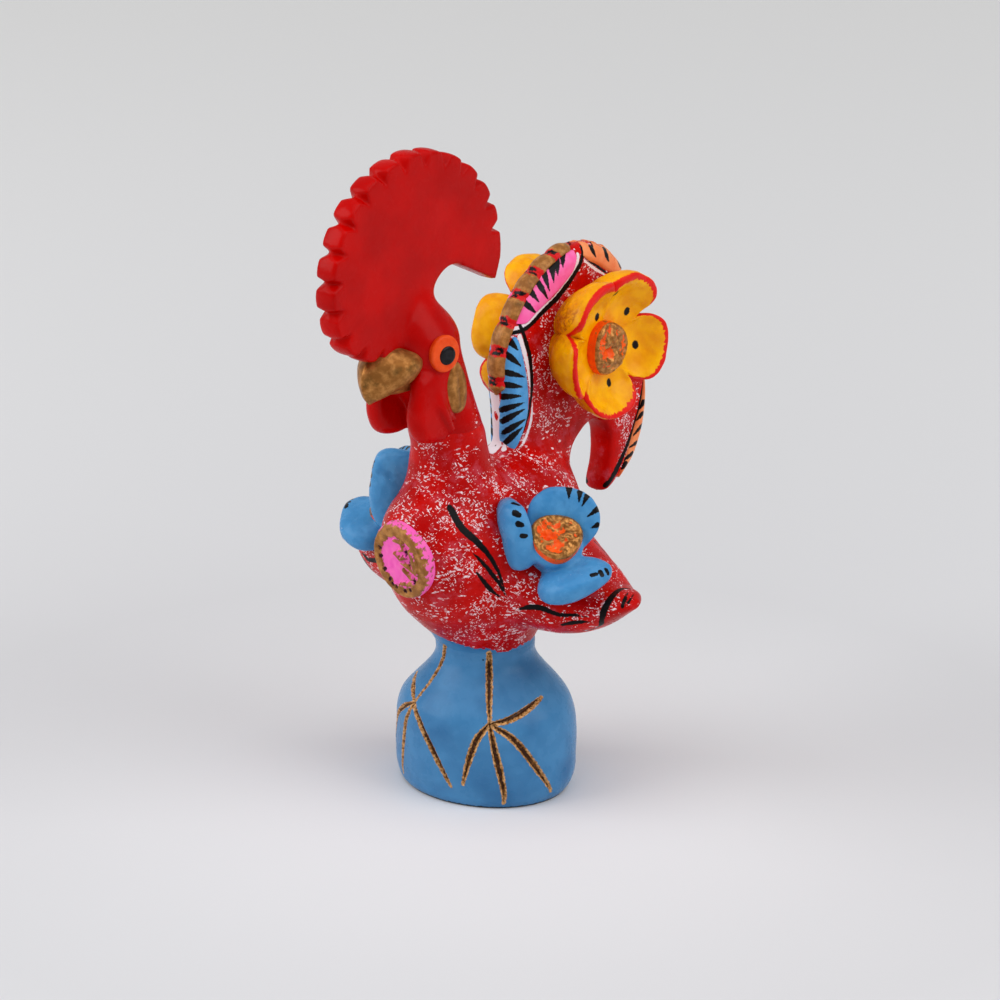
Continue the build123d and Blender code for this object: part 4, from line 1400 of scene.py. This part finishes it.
material_petal_blue = gloss_paint("blue_petal_paint", petal_blue, (0.2, 0.32), 0.05, 0.8)
material_petal_yellow = gloss_paint("yellow_petal_paint", petal_yellow, (0.24, 0.38), 0.06, 0.8)
material_centre = gloss_paint("crumpled_orange_gold_paint", crumpled_centre, (0.2, 0.35), 0.06, 0.6)


def feather_paint(name, shade, shade_two):
    """A feather's own colour in two shades, under its black wedges."""
    def mix(tree):
        base = streaky(tree, shade, shade_two, 2.0)
        return over(tree, base, ink_black, painted(tree, "black", 0.05, 0.07, 0.4))
    return gloss_paint(name, mix, (0.26, 0.4), 0.04, 0.7)


material_feather_blue = feather_paint("blue_feather_paint", feather_blue, feather_blue_pale)
material_feather_pink = feather_paint("pink_feather_paint", feather_pink, feather_pink_pale)
material_feather_orange = feather_paint("orange_feather_paint", feather_orange, feather_orange_pale)


def bead_paint(tree):
    """Gold beads along the tail's rim, with red bands and black touches between them."""
    red = over(tree, bead_red, ink_black, painted(tree, "black", 0.1, 0.3, 0.8))
    return over(tree, red, gold_mix(tree), painted(tree, "gold", 0.12, 0.3, 0.8))


def medallion_mix(tree):
    """Pink plaque with a gold ring, raised gold squiggles, and painted shade in its pits."""
    base = streaky(tree, pink_bright, pink_pale, 1.6)
    base = over(tree, base, gold_mix(tree), painted(tree, "gold", 0.08, 0.35, 0.8))
    # Painted shade: the pits, which are also sunk into the plaque's relief, are darkened
    return over(tree, base, plaque_pit_shade, painted(tree, "pit", 0.08, 0.15, 0.5))


material_bead = gloss_paint("gold_red_bead_paint", bead_paint, (0.26, 0.4), 0.05, 0.7)
material_medallion = gloss_paint("pink_gold_plaque_paint", medallion_mix, (0.28, 0.42), 0.06, 0.6)


# Pieces

def leaf_border_lines(points):
    """Distances to the black and to the white brush lines round the leaves, on both of the tail's faces."""
    both = []
    for table in (border_black_lines, border_white_lines):
        nearest = np.full(len(points), far_away)
        for path, widths in table:
            flat = along(path, border_steps)
            wide = spread_widths(widths, border_steps)
            for side in (1, -1):
                surface = np.column_stack([side * tail_surface(flat), flat])
                nearest = np.minimum(nearest, brush_distance(points, surface, wide))
        both.append(nearest)
    return both


def front_edge_marks(points):
    """Distances to the black line and to the white strip with its red spot on the tail's front edge."""
    x, y, z = points.T
    strip = front_edge_white
    across = np.abs(x - strip["middle"]) - strip["half_width"]
    upright = np.maximum(strip["low"] - z, z - strip["high"])
    behind = np.abs(y - strip["middle_back"]) - strip["half_depth"]
    spot = np.linalg.norm((points - front_edge_red_spot) * (1.0, 1.0, 0.6), axis=1)
    outside_spot = front_edge_spot_radius - spot
    white = np.maximum(np.maximum(across, upright), np.maximum(behind, outside_spot))
    black = brush_distance(points, front_edge_black_line, front_edge_black_half_widths)
    return black, white


def toe_distance(points):
    """Distance to the edge of the nearest toe line that is cut into the bell."""
    nearest = np.full(len(points), far_away)
    for wide, places in toe_lines:
        path = along(places, toe_steps)
        share = np.linspace(0, 1, toe_steps)
        half_widths = wide * (0.12 + 0.88 * np.sin(math.pi * np.clip(share * 0.9 + 0.08, 0, 1)) ** 0.8)
        nearest = np.minimum(nearest, brush_distance(points, on_bell(path), half_widths))
    return nearest


def make_body():
    """Torso, wings, tail plate and lower neck as one casting, with its painted marks."""
    tail = along(tail_outline, 260, closed=True)
    parts = [
        closed_rings(ring_stack(torso_rings, 90, 96)),
        closed_rings(ring_stack(neck_rings, 50, 72)),
        wing_form(),
        mirrored(wing_form()),
        rounded_plate(tail, 0.0, tail_half_thickness, tail_rounding(tail)),
    ]

    def soft(points):
        x, y, z = points.T
        neck_root = np.exp(-((z - 57) / 5.5) ** 2 - ((y + 8) / 13) ** 2)
        tail_root = np.exp(-((z - 58) / 5.0) ** 2 - ((y - 10) / 12) ** 2) * (y > 2.5)
        wing_root = np.exp(-((np.abs(x) - 14.5) / 4.5) ** 2 - ((z - 45) / 14) ** 2)
        waist = smooth_step(25.6, 28.0, z)
        return np.clip(np.maximum(np.maximum(neck_root, tail_root), wing_root), 0, 1) * waist * 0.7

    piece = cast_skin("body", parts, body_voxel, 6, soft, 160)
    hand_wavy(piece, [(6.0, 0.16, 3), (2.2, 0.05, 4)])
    tree = skin_tree(piece)
    points = mesh_points(piece.data)
    x, y, z = points.T
    border_black, border_white = leaf_border_lines(points)
    front_black, front_white = front_edge_marks(points)
    black = np.minimum(border_black, front_black)
    black = np.minimum(black, strokes_distance(tree, points, far_strokes_px))
    for side in (1, -1):
        black = np.minimum(black, strokes_distance(tree, points * (side, 1, 1), near_strokes_px))
    waist = through(waist_line, np.degrees(np.arctan2(x, -y)))[:, 0]
    far = np.hypot(y - hook_middle[0], z - hook_middle[1])
    groove = toe_distance(points)
    add_attributes(piece, {
        "black": black,
        "white": np.minimum(border_white, front_white),
        "below_waist": z - waist,
        "plain": np.minimum(np.minimum(hook_plain_radius - far, y - hook_plain_back), hook_plain_top - z),
        "gold": groove - gold_reach,
        "groove": groove + groove_paint_inset,
    })
    return piece


def make_head():
    """Head, comb, wattles and cheek folds as one casting."""
    wattle = along(wattle_outline, 90, closed=True)
    one_side = [rounded_plate(wattle, wattle_middle, wattle_half_thickness, wattle_edge_round, 9)]
    one_side += [rod_form(path, radii) for path, radii in cheek_folds]
    parts = [closed_rings(ring_stack(head_rings, 70, 72)), comb_form()]
    for part in one_side:
        parts += [part, mirrored(part)]

    def soft(points):
        x, y, z = points.T
        brow = np.exp(-((z - 92.5) / 4.0) ** 2) * (np.abs(y + 17) < 9)
        cheek = np.exp(-((z - 80.0) / 2.6) ** 2) * (y < -14.0)
        neck = np.exp(-((z - 68.0) / 1.6) ** 2) * 0.5
        return np.clip(np.maximum(np.maximum(brow, cheek), neck), 0, 1) * 0.8

    piece = cast_skin("head_and_comb", parts, head_voxel, 2, soft, 140)
    hand_wavy(piece, [(5.0, 0.10, 11)])
    x, y, z = mesh_points(piece.data).T
    reach = neck_chip_height + neck_chip_rise * smooth_step(-13.0, -8.0, y)
    add_attributes(piece, {"flecked": z - reach})
    return piece


def make_foot():
    """The bell: rings through its table on a fine grid, with the birds' feet cut into it."""
    rows, sides = 200, 560
    rings = ring_stack(bell_rings, rows, sides)
    points = rings.reshape(-1, 3)
    groove = toe_distance(points)
    depth = groove_depth * smooth_step(0.15, -0.30, groove)
    radial = points * (1, 1, 0)
    radial /= np.linalg.norm(radial, axis=1)[:, None]
    lip = lip_height * np.exp(-((groove - lip_place) / lip_width) ** 2)
    points = points + radial * (lip - depth)[:, None]
    wave = 0.10 * value_noise(points, 7.0, 21) * smooth_step(25.4, 22, points[:, 2])
    points += radial * wave[:, None]
    ends = (far_away, far_away)
    return new_piece("foot", closed_rings(points.reshape(rows, sides, 3)), {
        "gold": with_ends(groove - gold_reach, ends),
        "groove": with_ends(groove + groove_paint_inset, ends),
        # Height above the foot's lowest edge, which holds the painted contact shade
        "painted_rim_shade": with_ends(points[:, 2] - rim_shade_height, ends),
    })


def on_bell(path):
    """Points on the bell from degrees round from the front and height."""
    path = np.asarray(path, float)
    width, front, back = through(bell_rings, path[:, 1]).T
    turn = np.radians(path[:, 0] - 90)
    x = width * np.cos(turn)
    y = (front + back) / 2 + (back - front) / 2 * np.sin(turn)
    return np.column_stack([x, y, path[:, 1]])


def make_beak():
    """Upper beak: level pointed ovals, sheared so that the cheek ends rise and draw in."""
    rings = np.asarray(beak_rings, float)
    rows, sides = 70, 96
    rise = np.linspace(-math.pi / 2, math.pi / 2, rows)
    heights = (rings[0, 0] + rings[-1, 0]) / 2 + (rings[-1, 0] - rings[0, 0]) / 2 * np.sin(rise)
    half_width, front, back = through(rings, heights).T
    turn = np.linspace(0, 2 * math.pi, sides, endpoint=False)
    share = (1 - np.cos(turn)) / 2
    pointed = np.abs(np.sin(turn / 2)) ** 0.5
    x = half_width[:, None] * 1.10 * np.sin(turn) * pointed
    y = front[:, None] + (back - front)[:, None] * share
    drawn_in = 1 - 0.32 * share ** 1.5
    z = beak_middle_height + 0.3 * share + (heights[:, None] - beak_middle_height) * drawn_in
    piece = new_piece("beak", closed_rings(np.stack([x, y, z], axis=-1)))
    hand_wavy(piece, [(2.5, 0.10, 31)])
    return piece


def make_bill():
    return new_piece("lower_bill", closed_rings(ring_stack(bill_rings, 24, 48)))


def make_eye_part(profile, height_stretch=1.0, shift=(0.0, 0.0, 0.0)):
    """A turned ring or dome on the head's left side, facing a little forwards."""
    turn = math.radians(eye_turn)
    board = turned_form(profile, half_sizes=(1.0, height_stretch)) + shift
    return closed_rings(placed(board, eye_place, (0, 1, 0), (math.cos(turn), -math.sin(turn), 0)))


def make_lobe():
    """Ear lobe: a leaf with a soft groove down its middle, bent round the head."""
    leaf = pebble(lobe_half_sizes, lobe_squareness)
    x, y, z = leaf[..., 0], leaf[..., 1], leaf[..., 2]
    y = y * (1 - 0.32 * smooth_step(0.0, 4.5, x))
    groove = lobe_groove_depth * np.exp(-(y / lobe_groove_width) ** 2)
    groove *= smooth_step(4.4, 1.0, np.abs(x))
    z = z - np.where(z > 0, groove, 0) - y ** 2 / lobe_bend
    leaf = np.stack([x, y, z], axis=-1)
    lean = math.radians(lobe_lean)
    return closed_rings(placed(leaf, lobe_place, (0, -math.sin(lean), math.cos(lean)), (1, 0, 0)))


def make_plaque():
    """Chest plaque: a thick disc on polar rings, with a raised ring, curls and pits."""
    rows, sides = 110, 200
    share = np.linspace(0, 1, rows)
    radius = plaque_radius * np.minimum(share / 0.8, 1)[:, None] + np.zeros(sides)
    turn = np.linspace(0, 2 * math.pi, sides, endpoint=False)
    x = radius * np.cos(turn)
    y = radius * np.sin(turn)
    flat = np.stack([x, y, np.zeros_like(x)], axis=-1).reshape(-1, 3)
    curl = np.full(len(flat), unpainted)
    for path, widths in plaque_curls:
        path = [(a, b, 0.0) for a, b in path]
        curl = np.minimum(curl, brush_distance(flat, path, widths))
    pit = np.full(len(flat), unpainted)
    for a, b in plaque_pits:
        pit = np.minimum(pit, np.linalg.norm(flat - (a, b, 0), axis=1) - plaque_pit_radius)
    far = np.hypot(flat[:, 0], flat[:, 1])
    ring = np.abs(far - plaque_ring_radius) - plaque_ring_half_width
    height = plaque_ring_height * smooth_step(0.2, -0.3, ring)
    height += plaque_curl_height * smooth_step(0.15, -0.3, curl)
    height -= plaque_pit_depth * smooth_step(0.15, -0.2, pit)
    height -= 0.55 * smooth_step(6.5, 7.4, far) ** 2
    height += 0.10 * value_noise(flat, 0.9, 41)
    side_wall = np.clip(share - 0.8, 0, 1) / 0.2
    height -= np.repeat(plaque_thickness * side_wall, sides)
    board = np.column_stack([flat[:, :2] * (plaque_narrowing, 1), height]).reshape(rows, sides, 3)
    tilt = math.radians(plaque_tilt)
    out = (0, -math.cos(tilt), -math.sin(tilt))
    return new_piece("chest_plaque", closed_rings(placed(board, plaque_place, (1, 0, 0), out)), {
        "gold": with_ends(np.minimum(ring, curl)),
        "pit": with_ends(pit),
    })


def make_leaf(name, set_back=0.0):
    """A feather leaf with its black tapering wedges, as a skin and its attributes."""
    outer, inner = leaf_edges[name]
    outer = [(back + set_back, height) for back, height in outer]
    vertices, faces = leaf_form(outer, inner)
    tree = BVHTree.FromPolygons(vertices.tolist(), faces)
    strokes = [(wedge, leaf_wedge_half_widths[name]) for wedge in leaf_wedges_px[name]]
    return (vertices, faces), {"black": strokes_distance(tree, vertices, strokes)}


def make_wing_flower(name, disc_height, petals):
    """Hub and three thick petals of a wing flower on the left, merged as they were moulded."""
    hub_profile = [
        (3.6, -2.4), (3.6, 0.5), (4.2, 2.6), (wing_hub_radius, disc_height - 1.2), (3.8, disc_height - 0.8),
    ]
    hub = turned_form(hub_profile, rows=30)
    parts = [closed_rings(placed(hub, wing_flower_foot, (0, -1, 0), wing_flower_axis))]
    parts += [petal_placed(petal) for petal in petals]
    piece = cast_skin(name, parts, wing_flower_voxel, 8)
    hand_wavy(piece, [(2.6, 0.16, 51), (0.9, 0.04, 52)])
    black = strokes_distance(skin_tree(piece), mesh_points(piece.data), blue_petal_marks_px)
    add_attributes(piece, {"black": black})
    return piece


def crumpled_disc(place, x_axis, axis, half_sizes, thickness, seed):
    """A thick oval wafer with crumpled folds; gold lies on the folds' heights."""
    rows, sides = 70, 120
    profile = [(1.0, -thickness), (1.0, -0.4), (0.97, 0.0), (0.86, 0.2), (0.5, 0.25), (0.05, 0.25)]
    board = turned_form(profile, sides, rows, half_sizes)
    radius = np.hypot(board[..., 0] / half_sizes[0], board[..., 1] / half_sizes[1])
    fold = crumple(board.reshape(-1, 3) * (1, 1, 0), seed, 2.5, 0.62).reshape(rows, sides)
    front = smooth_step(-0.3, 0.1, board[..., 2])
    lip = 0.35 * smooth_step(0.7, 0.92, radius)
    board[..., 2] += front * (fold * smooth_step(1.02, 0.75, radius) + lip)
    wobble = 1 + 0.05 * np.sin(3 * np.linspace(0, 2 * math.pi, sides) + seed)
    board[..., 0] *= wobble
    board[..., 1] *= wobble
    gold = np.where(front > 0.5, 0.25 - fold - 0.9 * smooth_step(0.72, 0.9, radius), 0.35)
    vertices, faces = closed_rings(placed(board, place, x_axis, axis))
    return (vertices, faces), {"gold": with_ends(gold, (1.0, -1.0))}


def tail_rim(angle):
    """The tail flower's lobed radius and the rim's dip at angles in degrees, and the way across a petal."""
    radius = np.zeros_like(angle)
    dip = np.zeros_like(angle)
    place = np.zeros_like(angle)
    for number, (start, start_radius, start_dip, petal_radius) in enumerate(tail_petals):
        end, end_radius, end_dip, _ = tail_petals[(number + 1) % len(tail_petals)]
        spread = (end - start) % 360 / 2
        t = ((angle - start) % 360) / spread - 1
        here = t <= 1
        corner = np.where(t < 0, start_radius, end_radius)
        lobe = petal_radius - (petal_radius - corner) * np.abs(t) ** 3.5
        radius = np.where(here, lobe, radius)
        dip = np.where(here, np.where(t < 0, start_dip, end_dip) * np.abs(t) ** 5, dip)
        place = np.where(here, t, place)
    return radius, dip, place


def around_axis(height, radius, angle):
    """Places round the tail flower's axis: height above the tail's face, radius and degrees."""
    turn = np.radians(angle)
    return np.stack([
        tail_flower_foot[0] + tail_flower_gap + height,
        tail_flower_foot[1] + radius * np.cos(turn),
        tail_flower_foot[2] + radius * np.sin(turn),
    ], axis=-1)


def tail_flower_form(angle):
    """Radius, height and length from the rim of a bowl of five petals, at angles in degrees.

    Round the axis the radius is R(a) = r - (r - c) |t|^3.5 on each petal; the skin climbs the outer
    wall, rounds the rim, and comes down the bowl b(r), with a soft hollow inside each petal. The
    length is negative on the outer wall.
    """
    rim, dip, across = tail_rim(angle)
    rim_height = through(tail_bowl, rim - 1.0)[:, 0] + 0.15 - dip
    climb = np.linspace(-0.08, 1, 44)[:, None]
    wall_height = climb * rim_height
    wall_share = through(tail_wall, wall_height.ravel())[:, 0].reshape(wall_height.shape)
    wall_radius = rim * wall_share
    top_radius = wall_radius[-1]
    inward = np.linspace(0, 1, 76)[1:, None] ** 0.8
    bowl_radius = top_radius * (1 - inward * 0.995)
    bowl_height = through(tail_bowl, bowl_radius.ravel())[:, 0].reshape(bowl_radius.shape)
    hollow = np.exp(-((bowl_radius - 9.0) / 2.6) ** 2) * (1 - across ** 2)
    crease = np.exp(-((np.abs(across) - 1) / 0.10) ** 2) * smooth_step(5.0, 8.0, bowl_radius)
    bowl_height = bowl_height - 0.75 * hollow + 0.35 * crease
    bowl_height = np.minimum(bowl_height, rim_height)
    radius = np.concatenate([wall_radius, bowl_radius])
    height = np.concatenate([wall_height, bowl_height])
    for _ in range(5):
        radius[1:-1] = 0.5 * radius[1:-1] + 0.25 * (radius[:-2] + radius[2:])
        height[1:-1] = 0.5 * height[1:-1] + 0.25 * (height[:-2] + height[2:])
    step = np.hypot(np.diff(radius, axis=0), np.diff(height, axis=0))
    length = np.concatenate([np.zeros((1, len(angle))), np.cumsum(step, axis=0)])
    return radius, height, length - length[len(wall_radius) - 1]


def tail_rim_red(angle, from_rim):
    """Distance to the red band on the rim, whose inner edge is ragged and wider in two places."""
    wide = 0.85 + 0.35 * value_noise(np.column_stack([angle / 9, angle * 0, angle * 0]), 1.0, 71)
    wide = wide + 0.3 * np.exp(-((angle - 282) / 26) ** 2) + 0.7 * np.exp(-((angle - 105) / 30) ** 2)
    serration = 0.35 * value_noise(np.column_stack([angle / 1.6, angle * 0, angle * 0]), 1.0, 72)
    inside = from_rim - (wide + serration)
    wedge = 0.25 + 0.9 * np.exp(-((angle - 122) / 26) ** 2) + 0.5 * np.exp(-((angle - 200) / 26) ** 2)
    outside = -from_rim - wedge
    return np.maximum(inside, outside)


def make_tail_flower(name, turn_by):
    """The moulded bowl of petals on the tail's left face, turned round its axis, with its paint."""
    angle = np.arange(tail_flower_sides) * 360 / tail_flower_sides
    radius, height, from_rim = tail_flower_form(angle)
    unturned = around_axis(height, radius, angle)
    vertices, faces = closed_rings(unturned)
    dots, _ = landed(BVHTree.FromPolygons(vertices.tolist(), faces), tail_dots_px)
    black = np.full(radius.size, unpainted)
    for dot in dots:
        away = np.linalg.norm((unturned.reshape(-1, 3) - dot) * (0.8, 0.8, 0.62), axis=1)
        away -= tail_dot_radius
        black = np.where(from_rim.ravel() > 0, np.minimum(black, away), black)
    dirt = np.exp(-((angle - 148) / 16) ** 2) * (from_rim < -2.0)
    piece = new_piece(name, closed_rings(around_axis(height, radius, angle + turn_by)), {
        "rim": with_ends(tail_rim_red(angle, from_rim)),
        "black": with_ends(black),
        "dirt": with_ends(dirt, (0.0, 0.0)),
    })
    hand_wavy(piece, [(3.0, 0.22, 61), (1.2, 0.08, 62)])
    return piece


def make_beads():
    part, attributes = bead_form()
    return new_piece("rim_beads", part, attributes)


def reflect(piece):
    """Turns a left piece into a right one and gives it back."""
    set_mesh_points(piece.data, mesh_points(piece.data) * (-1, 1, 1))
    piece.data.flip_normals()
    return piece


def twin(piece, name):
    """A mirrored copy of a piece for the right side, with its attributes."""
    mesh = piece.data.copy()
    mesh.name = name
    return reflect(in_scene(name, mesh))


def finish_piece(piece, material, slot, *nodes):
    """Gives a piece its paint and its body, and hides the nodes that it stands for; slot is not used."""
    piece.data.materials.clear()
    piece.data.materials.append(material)
    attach(piece, "root")
    if nodes:
        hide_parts(*nodes)


def make_pair(name, piece, material, slot, *nodes):
    """Finishes a left piece and its mirrored twin; the nodes' names lack their side."""
    right = twin(piece, f"right_{name}")
    finish_piece(piece, material, slot, *[f"left_{node}" for node in nodes])
    finish_piece(right, material, slot, *[f"right_{node}" for node in nodes])


# Stage, lamps and camera

# Painted light on the floor: darker near the figure and paler far off, which evens out the lamps' fall-off,
# and paler again round the foot, which thins the figure's shadow there
floor_near = colour("#D2D2D5")
floor_far = colour("#FFFFFF")
floor_painted_light_by_foot = colour("#E2E2E5")
# The sweep's flat part takes this share of its rows
floor_share = 0.6
floor_half_width = 2500.0
floor_front = 1500.0
floor_back = 1800.0
wall_depth = 700.0
wall_height = 1500.0
# In metres and watts: each soft box has its azimuth, elevation, distance, width and power
world_strength = 0.38
lamp_target = (0, 0, 0.06)
soft_boxes = {
    "left_box": (-40, 30, 0.9, 0.7, 4.2),
    "right_box": (105, 35, 0.9, 0.7, 3.5),
    "top_box": (40, 75, 1.0, 1.0, 3.8),
}
nearest_seen = 0.05


def make_stage():
    """A pale sweep: a floor that curves up into a wall behind the figure."""
    run = np.linspace(0, 1, 60)
    flat = np.minimum(run / floor_share, 1)
    curve = np.maximum(run - floor_share, 0) / (1 - floor_share) * math.pi / 2
    depth = -floor_front + flat * (floor_front + floor_back) + wall_depth * np.sin(curve)
    height = wall_height * (1 - np.cos(curve))
    across = np.linspace(-floor_half_width, floor_half_width, 3)
    azimuth = math.radians(camera_azimuth)
    x = across[None, :] * math.cos(azimuth) - depth[:, None] * math.sin(azimuth)
    y = across[None, :] * math.sin(azimuth) + depth[:, None] * math.cos(azimuth)
    z = np.broadcast_to(height[:, None], x.shape)
    rows, cols = x.shape
    index = np.arange(rows * cols).reshape(rows, cols)
    faces = np.stack([index[:-1, :-1], index[:-1, 1:], index[1:, 1:], index[1:, :-1]], axis=-1)
    vertices = np.stack([x, y, z], axis=-1).reshape(-1, 3)
    floor = new_piece("floor", (vertices, faces.reshape(-1, 4).tolist()))
    material = bpy.data.materials.new("pale_paper_sweep")
    material.use_nodes = True
    tree = material.node_tree
    shader = tree.nodes["Principled BSDF"]
    far = add_node(tree, "ShaderNodeVectorMath", {"operation": "LENGTH"}, {0: object_place(tree)})
    # Painted light: paler with distance from the figure, against the lamps' fall-off
    fade = span(tree, far.outputs["Value"], 0.08, 0.8)
    base = over(tree, floor_near, floor_far, fade)
    # Painted light: a paler ring round the foot that weakens the figure's shadow
    base = over(tree, base, floor_painted_light_by_foot, span(tree, far.outputs["Value"], 0.11, 0.03))
    tree.links.new(base, shader.inputs["Base Color"])
    shader.inputs["Roughness"].default_value = 0.9
    shader.inputs["Specular IOR Level"].default_value = 0.1
    floor.data.materials.append(material)


def add_lamp(name, azimuth, elevation, distance, size, power):
    """A square soft box that looks at the figure's middle."""
    lamp = bpy.data.lights.new(name, "AREA")
    lamp.shape = "SQUARE"
    lamp.size = size
    lamp.energy = power
    holder = in_scene(name, lamp)
    way = Vector(direction(azimuth, elevation))
    holder.location = way * distance + Vector(lamp_target)
    holder.rotation_euler = (-way).to_track_quat("-Z", "Y").to_euler()


def make_lights():
    """Plain white surroundings and three soft boxes."""
    world = bpy.data.worlds.new("studio")
    world.use_nodes = True
    background = world.node_tree.nodes["Background"]
    background.inputs["Color"].default_value = (1, 1, 1, 1)
    background.inputs["Strength"].default_value = world_strength
    bpy.context.scene.world = world
    for name, placing in soft_boxes.items():
        add_lamp(name, *placing)


def make_camera():
    """The photograph's viewing angle, with sRGB colours shown as they are."""
    place, _, _, back = camera_axes()
    lens = bpy.data.cameras.new("photo_camera")
    lens.sensor_width = sensor_width
    lens.lens = focal_pixels * sensor_width / frame_pixels
    lens.clip_start = nearest_seen
    holder = in_scene("photo_camera", lens)
    holder.location = Vector(place * MM)
    holder.rotation_euler = Vector(-back).to_track_quat("-Z", "Y").to_euler()
    bpy.context.scene.camera = holder
    bpy.context.scene.view_settings.view_transform = "Standard"


# The whole figure

make_camera()
make_stage()
make_lights()
finish_piece(make_body(), material_body, "body_red_paint", "torso", "left_wing", "right_wing", "tail_fan")
finish_piece(
    make_head(), material_head, "head_red_paint", "neck_head", "comb", "left_wattle", "right_wattle"
)
finish_piece(make_foot(), material_foot, "foot_blue_paint", "base")
finish_piece(make_beak(), material_gold, "gold_paint", "beak_upper")
finish_piece(make_bill(), material_gold, "gold_paint", "beak_lower")
finish_piece(make_plaque(), material_medallion, "medallion_paint", "chest_medallion")
leaf_materials = {
    "blue": (material_feather_blue, "feather_blue_paint"),
    "pink": (material_feather_pink, "feather_pink_paint"),
    "orange_top": (material_feather_orange, "feather_orange_paint"),
    "orange_back": (material_feather_orange, "feather_orange_paint"),
}

eye_ring = new_piece("left_eye_ring_disc", make_eye_part(eye_ring_profile, eye_height_stretch))
make_pair("eye_ring", eye_ring, material_orange, "eye_orange_paint", "eye_ring")
pupil = new_piece("left_pupil_dome", make_eye_part(pupil_profile, shift=pupil_shift))
make_pair("pupil", pupil, material_black, "eye_black_paint", "pupil")
make_pair("lobe", new_piece("left_lobe", make_lobe()), material_gold, "gold_paint", "ear_lobe")
for leaf_name, (leaf_material, leaf_slot) in leaf_materials.items():
    left_leaf = new_piece(f"left_{leaf_name}_leaf", *make_leaf(leaf_name))
    right_set_back = blue_right_set_back if leaf_name == "blue" else 0.0
    right_leaf = reflect(new_piece(f"right_{leaf_name}_leaf", *make_leaf(leaf_name, right_set_back)))
    finish_piece(left_leaf, leaf_material, leaf_slot, f"left_{leaf_name}_feathers")
    finish_piece(right_leaf, leaf_material, leaf_slot, f"right_{leaf_name}_feathers")
wing_sides = (("left", wing_disc_height, front_petal), ("right", far_disc_height, far_front_petal))
for side, disc_height, first_petal in wing_sides:
    flower = make_wing_flower(f"{side}_wing_flower", disc_height, (first_petal, back_petal, outer_petal))
    disc_place = np.array(wing_flower_foot) + np.array(wing_flower_axis) * disc_height
    disc = crumpled_disc(
        disc_place, (0, -1, 0), wing_flower_axis, wing_disc_half_sizes, wing_disc_thickness, wing_disc_seed
    )
    disc = new_piece(f"{side}_wing_disc", *disc)
    if side == "right":
        reflect(flower)
        reflect(disc)
    flower_nodes = [f"{side}_wing_flower_{part}" for part in ("petal_1", "petal_2", "petal_3", "hub")]
    finish_piece(flower, material_petal_blue, "petal_blue_paint", *flower_nodes)
    finish_piece(disc, material_centre, "flower_centre_paint", f"{side}_wing_flower_centre")
for side, turn_by in (("left", 0.0), ("right", right_tail_flower_turn)):
    flower = make_tail_flower(f"{side}_tail_flower", turn_by)
    if side == "right":
        reflect(flower)
    flower_nodes = [f"{side}_tail_flower_petal_{number}" for number in range(1, 6)]
    finish_piece(flower, material_petal_yellow, "petal_yellow_paint", *flower_nodes)
tail_disc_place = np.array(tail_flower_foot) + (tail_disc_height, 0, 0)
tail_disc = crumpled_disc(
    tail_disc_place, (0, 1, 0), (1, 0, 0), tail_disc_half_sizes, tail_disc_thickness, tail_disc_seed
)
tail_disc = new_piece("left_tail_disc", *tail_disc)
make_pair("tail_disc", tail_disc, material_centre, "flower_centre_paint", "tail_flower_centre")
finish_piece(make_beads(), material_bead, "gold_paint")
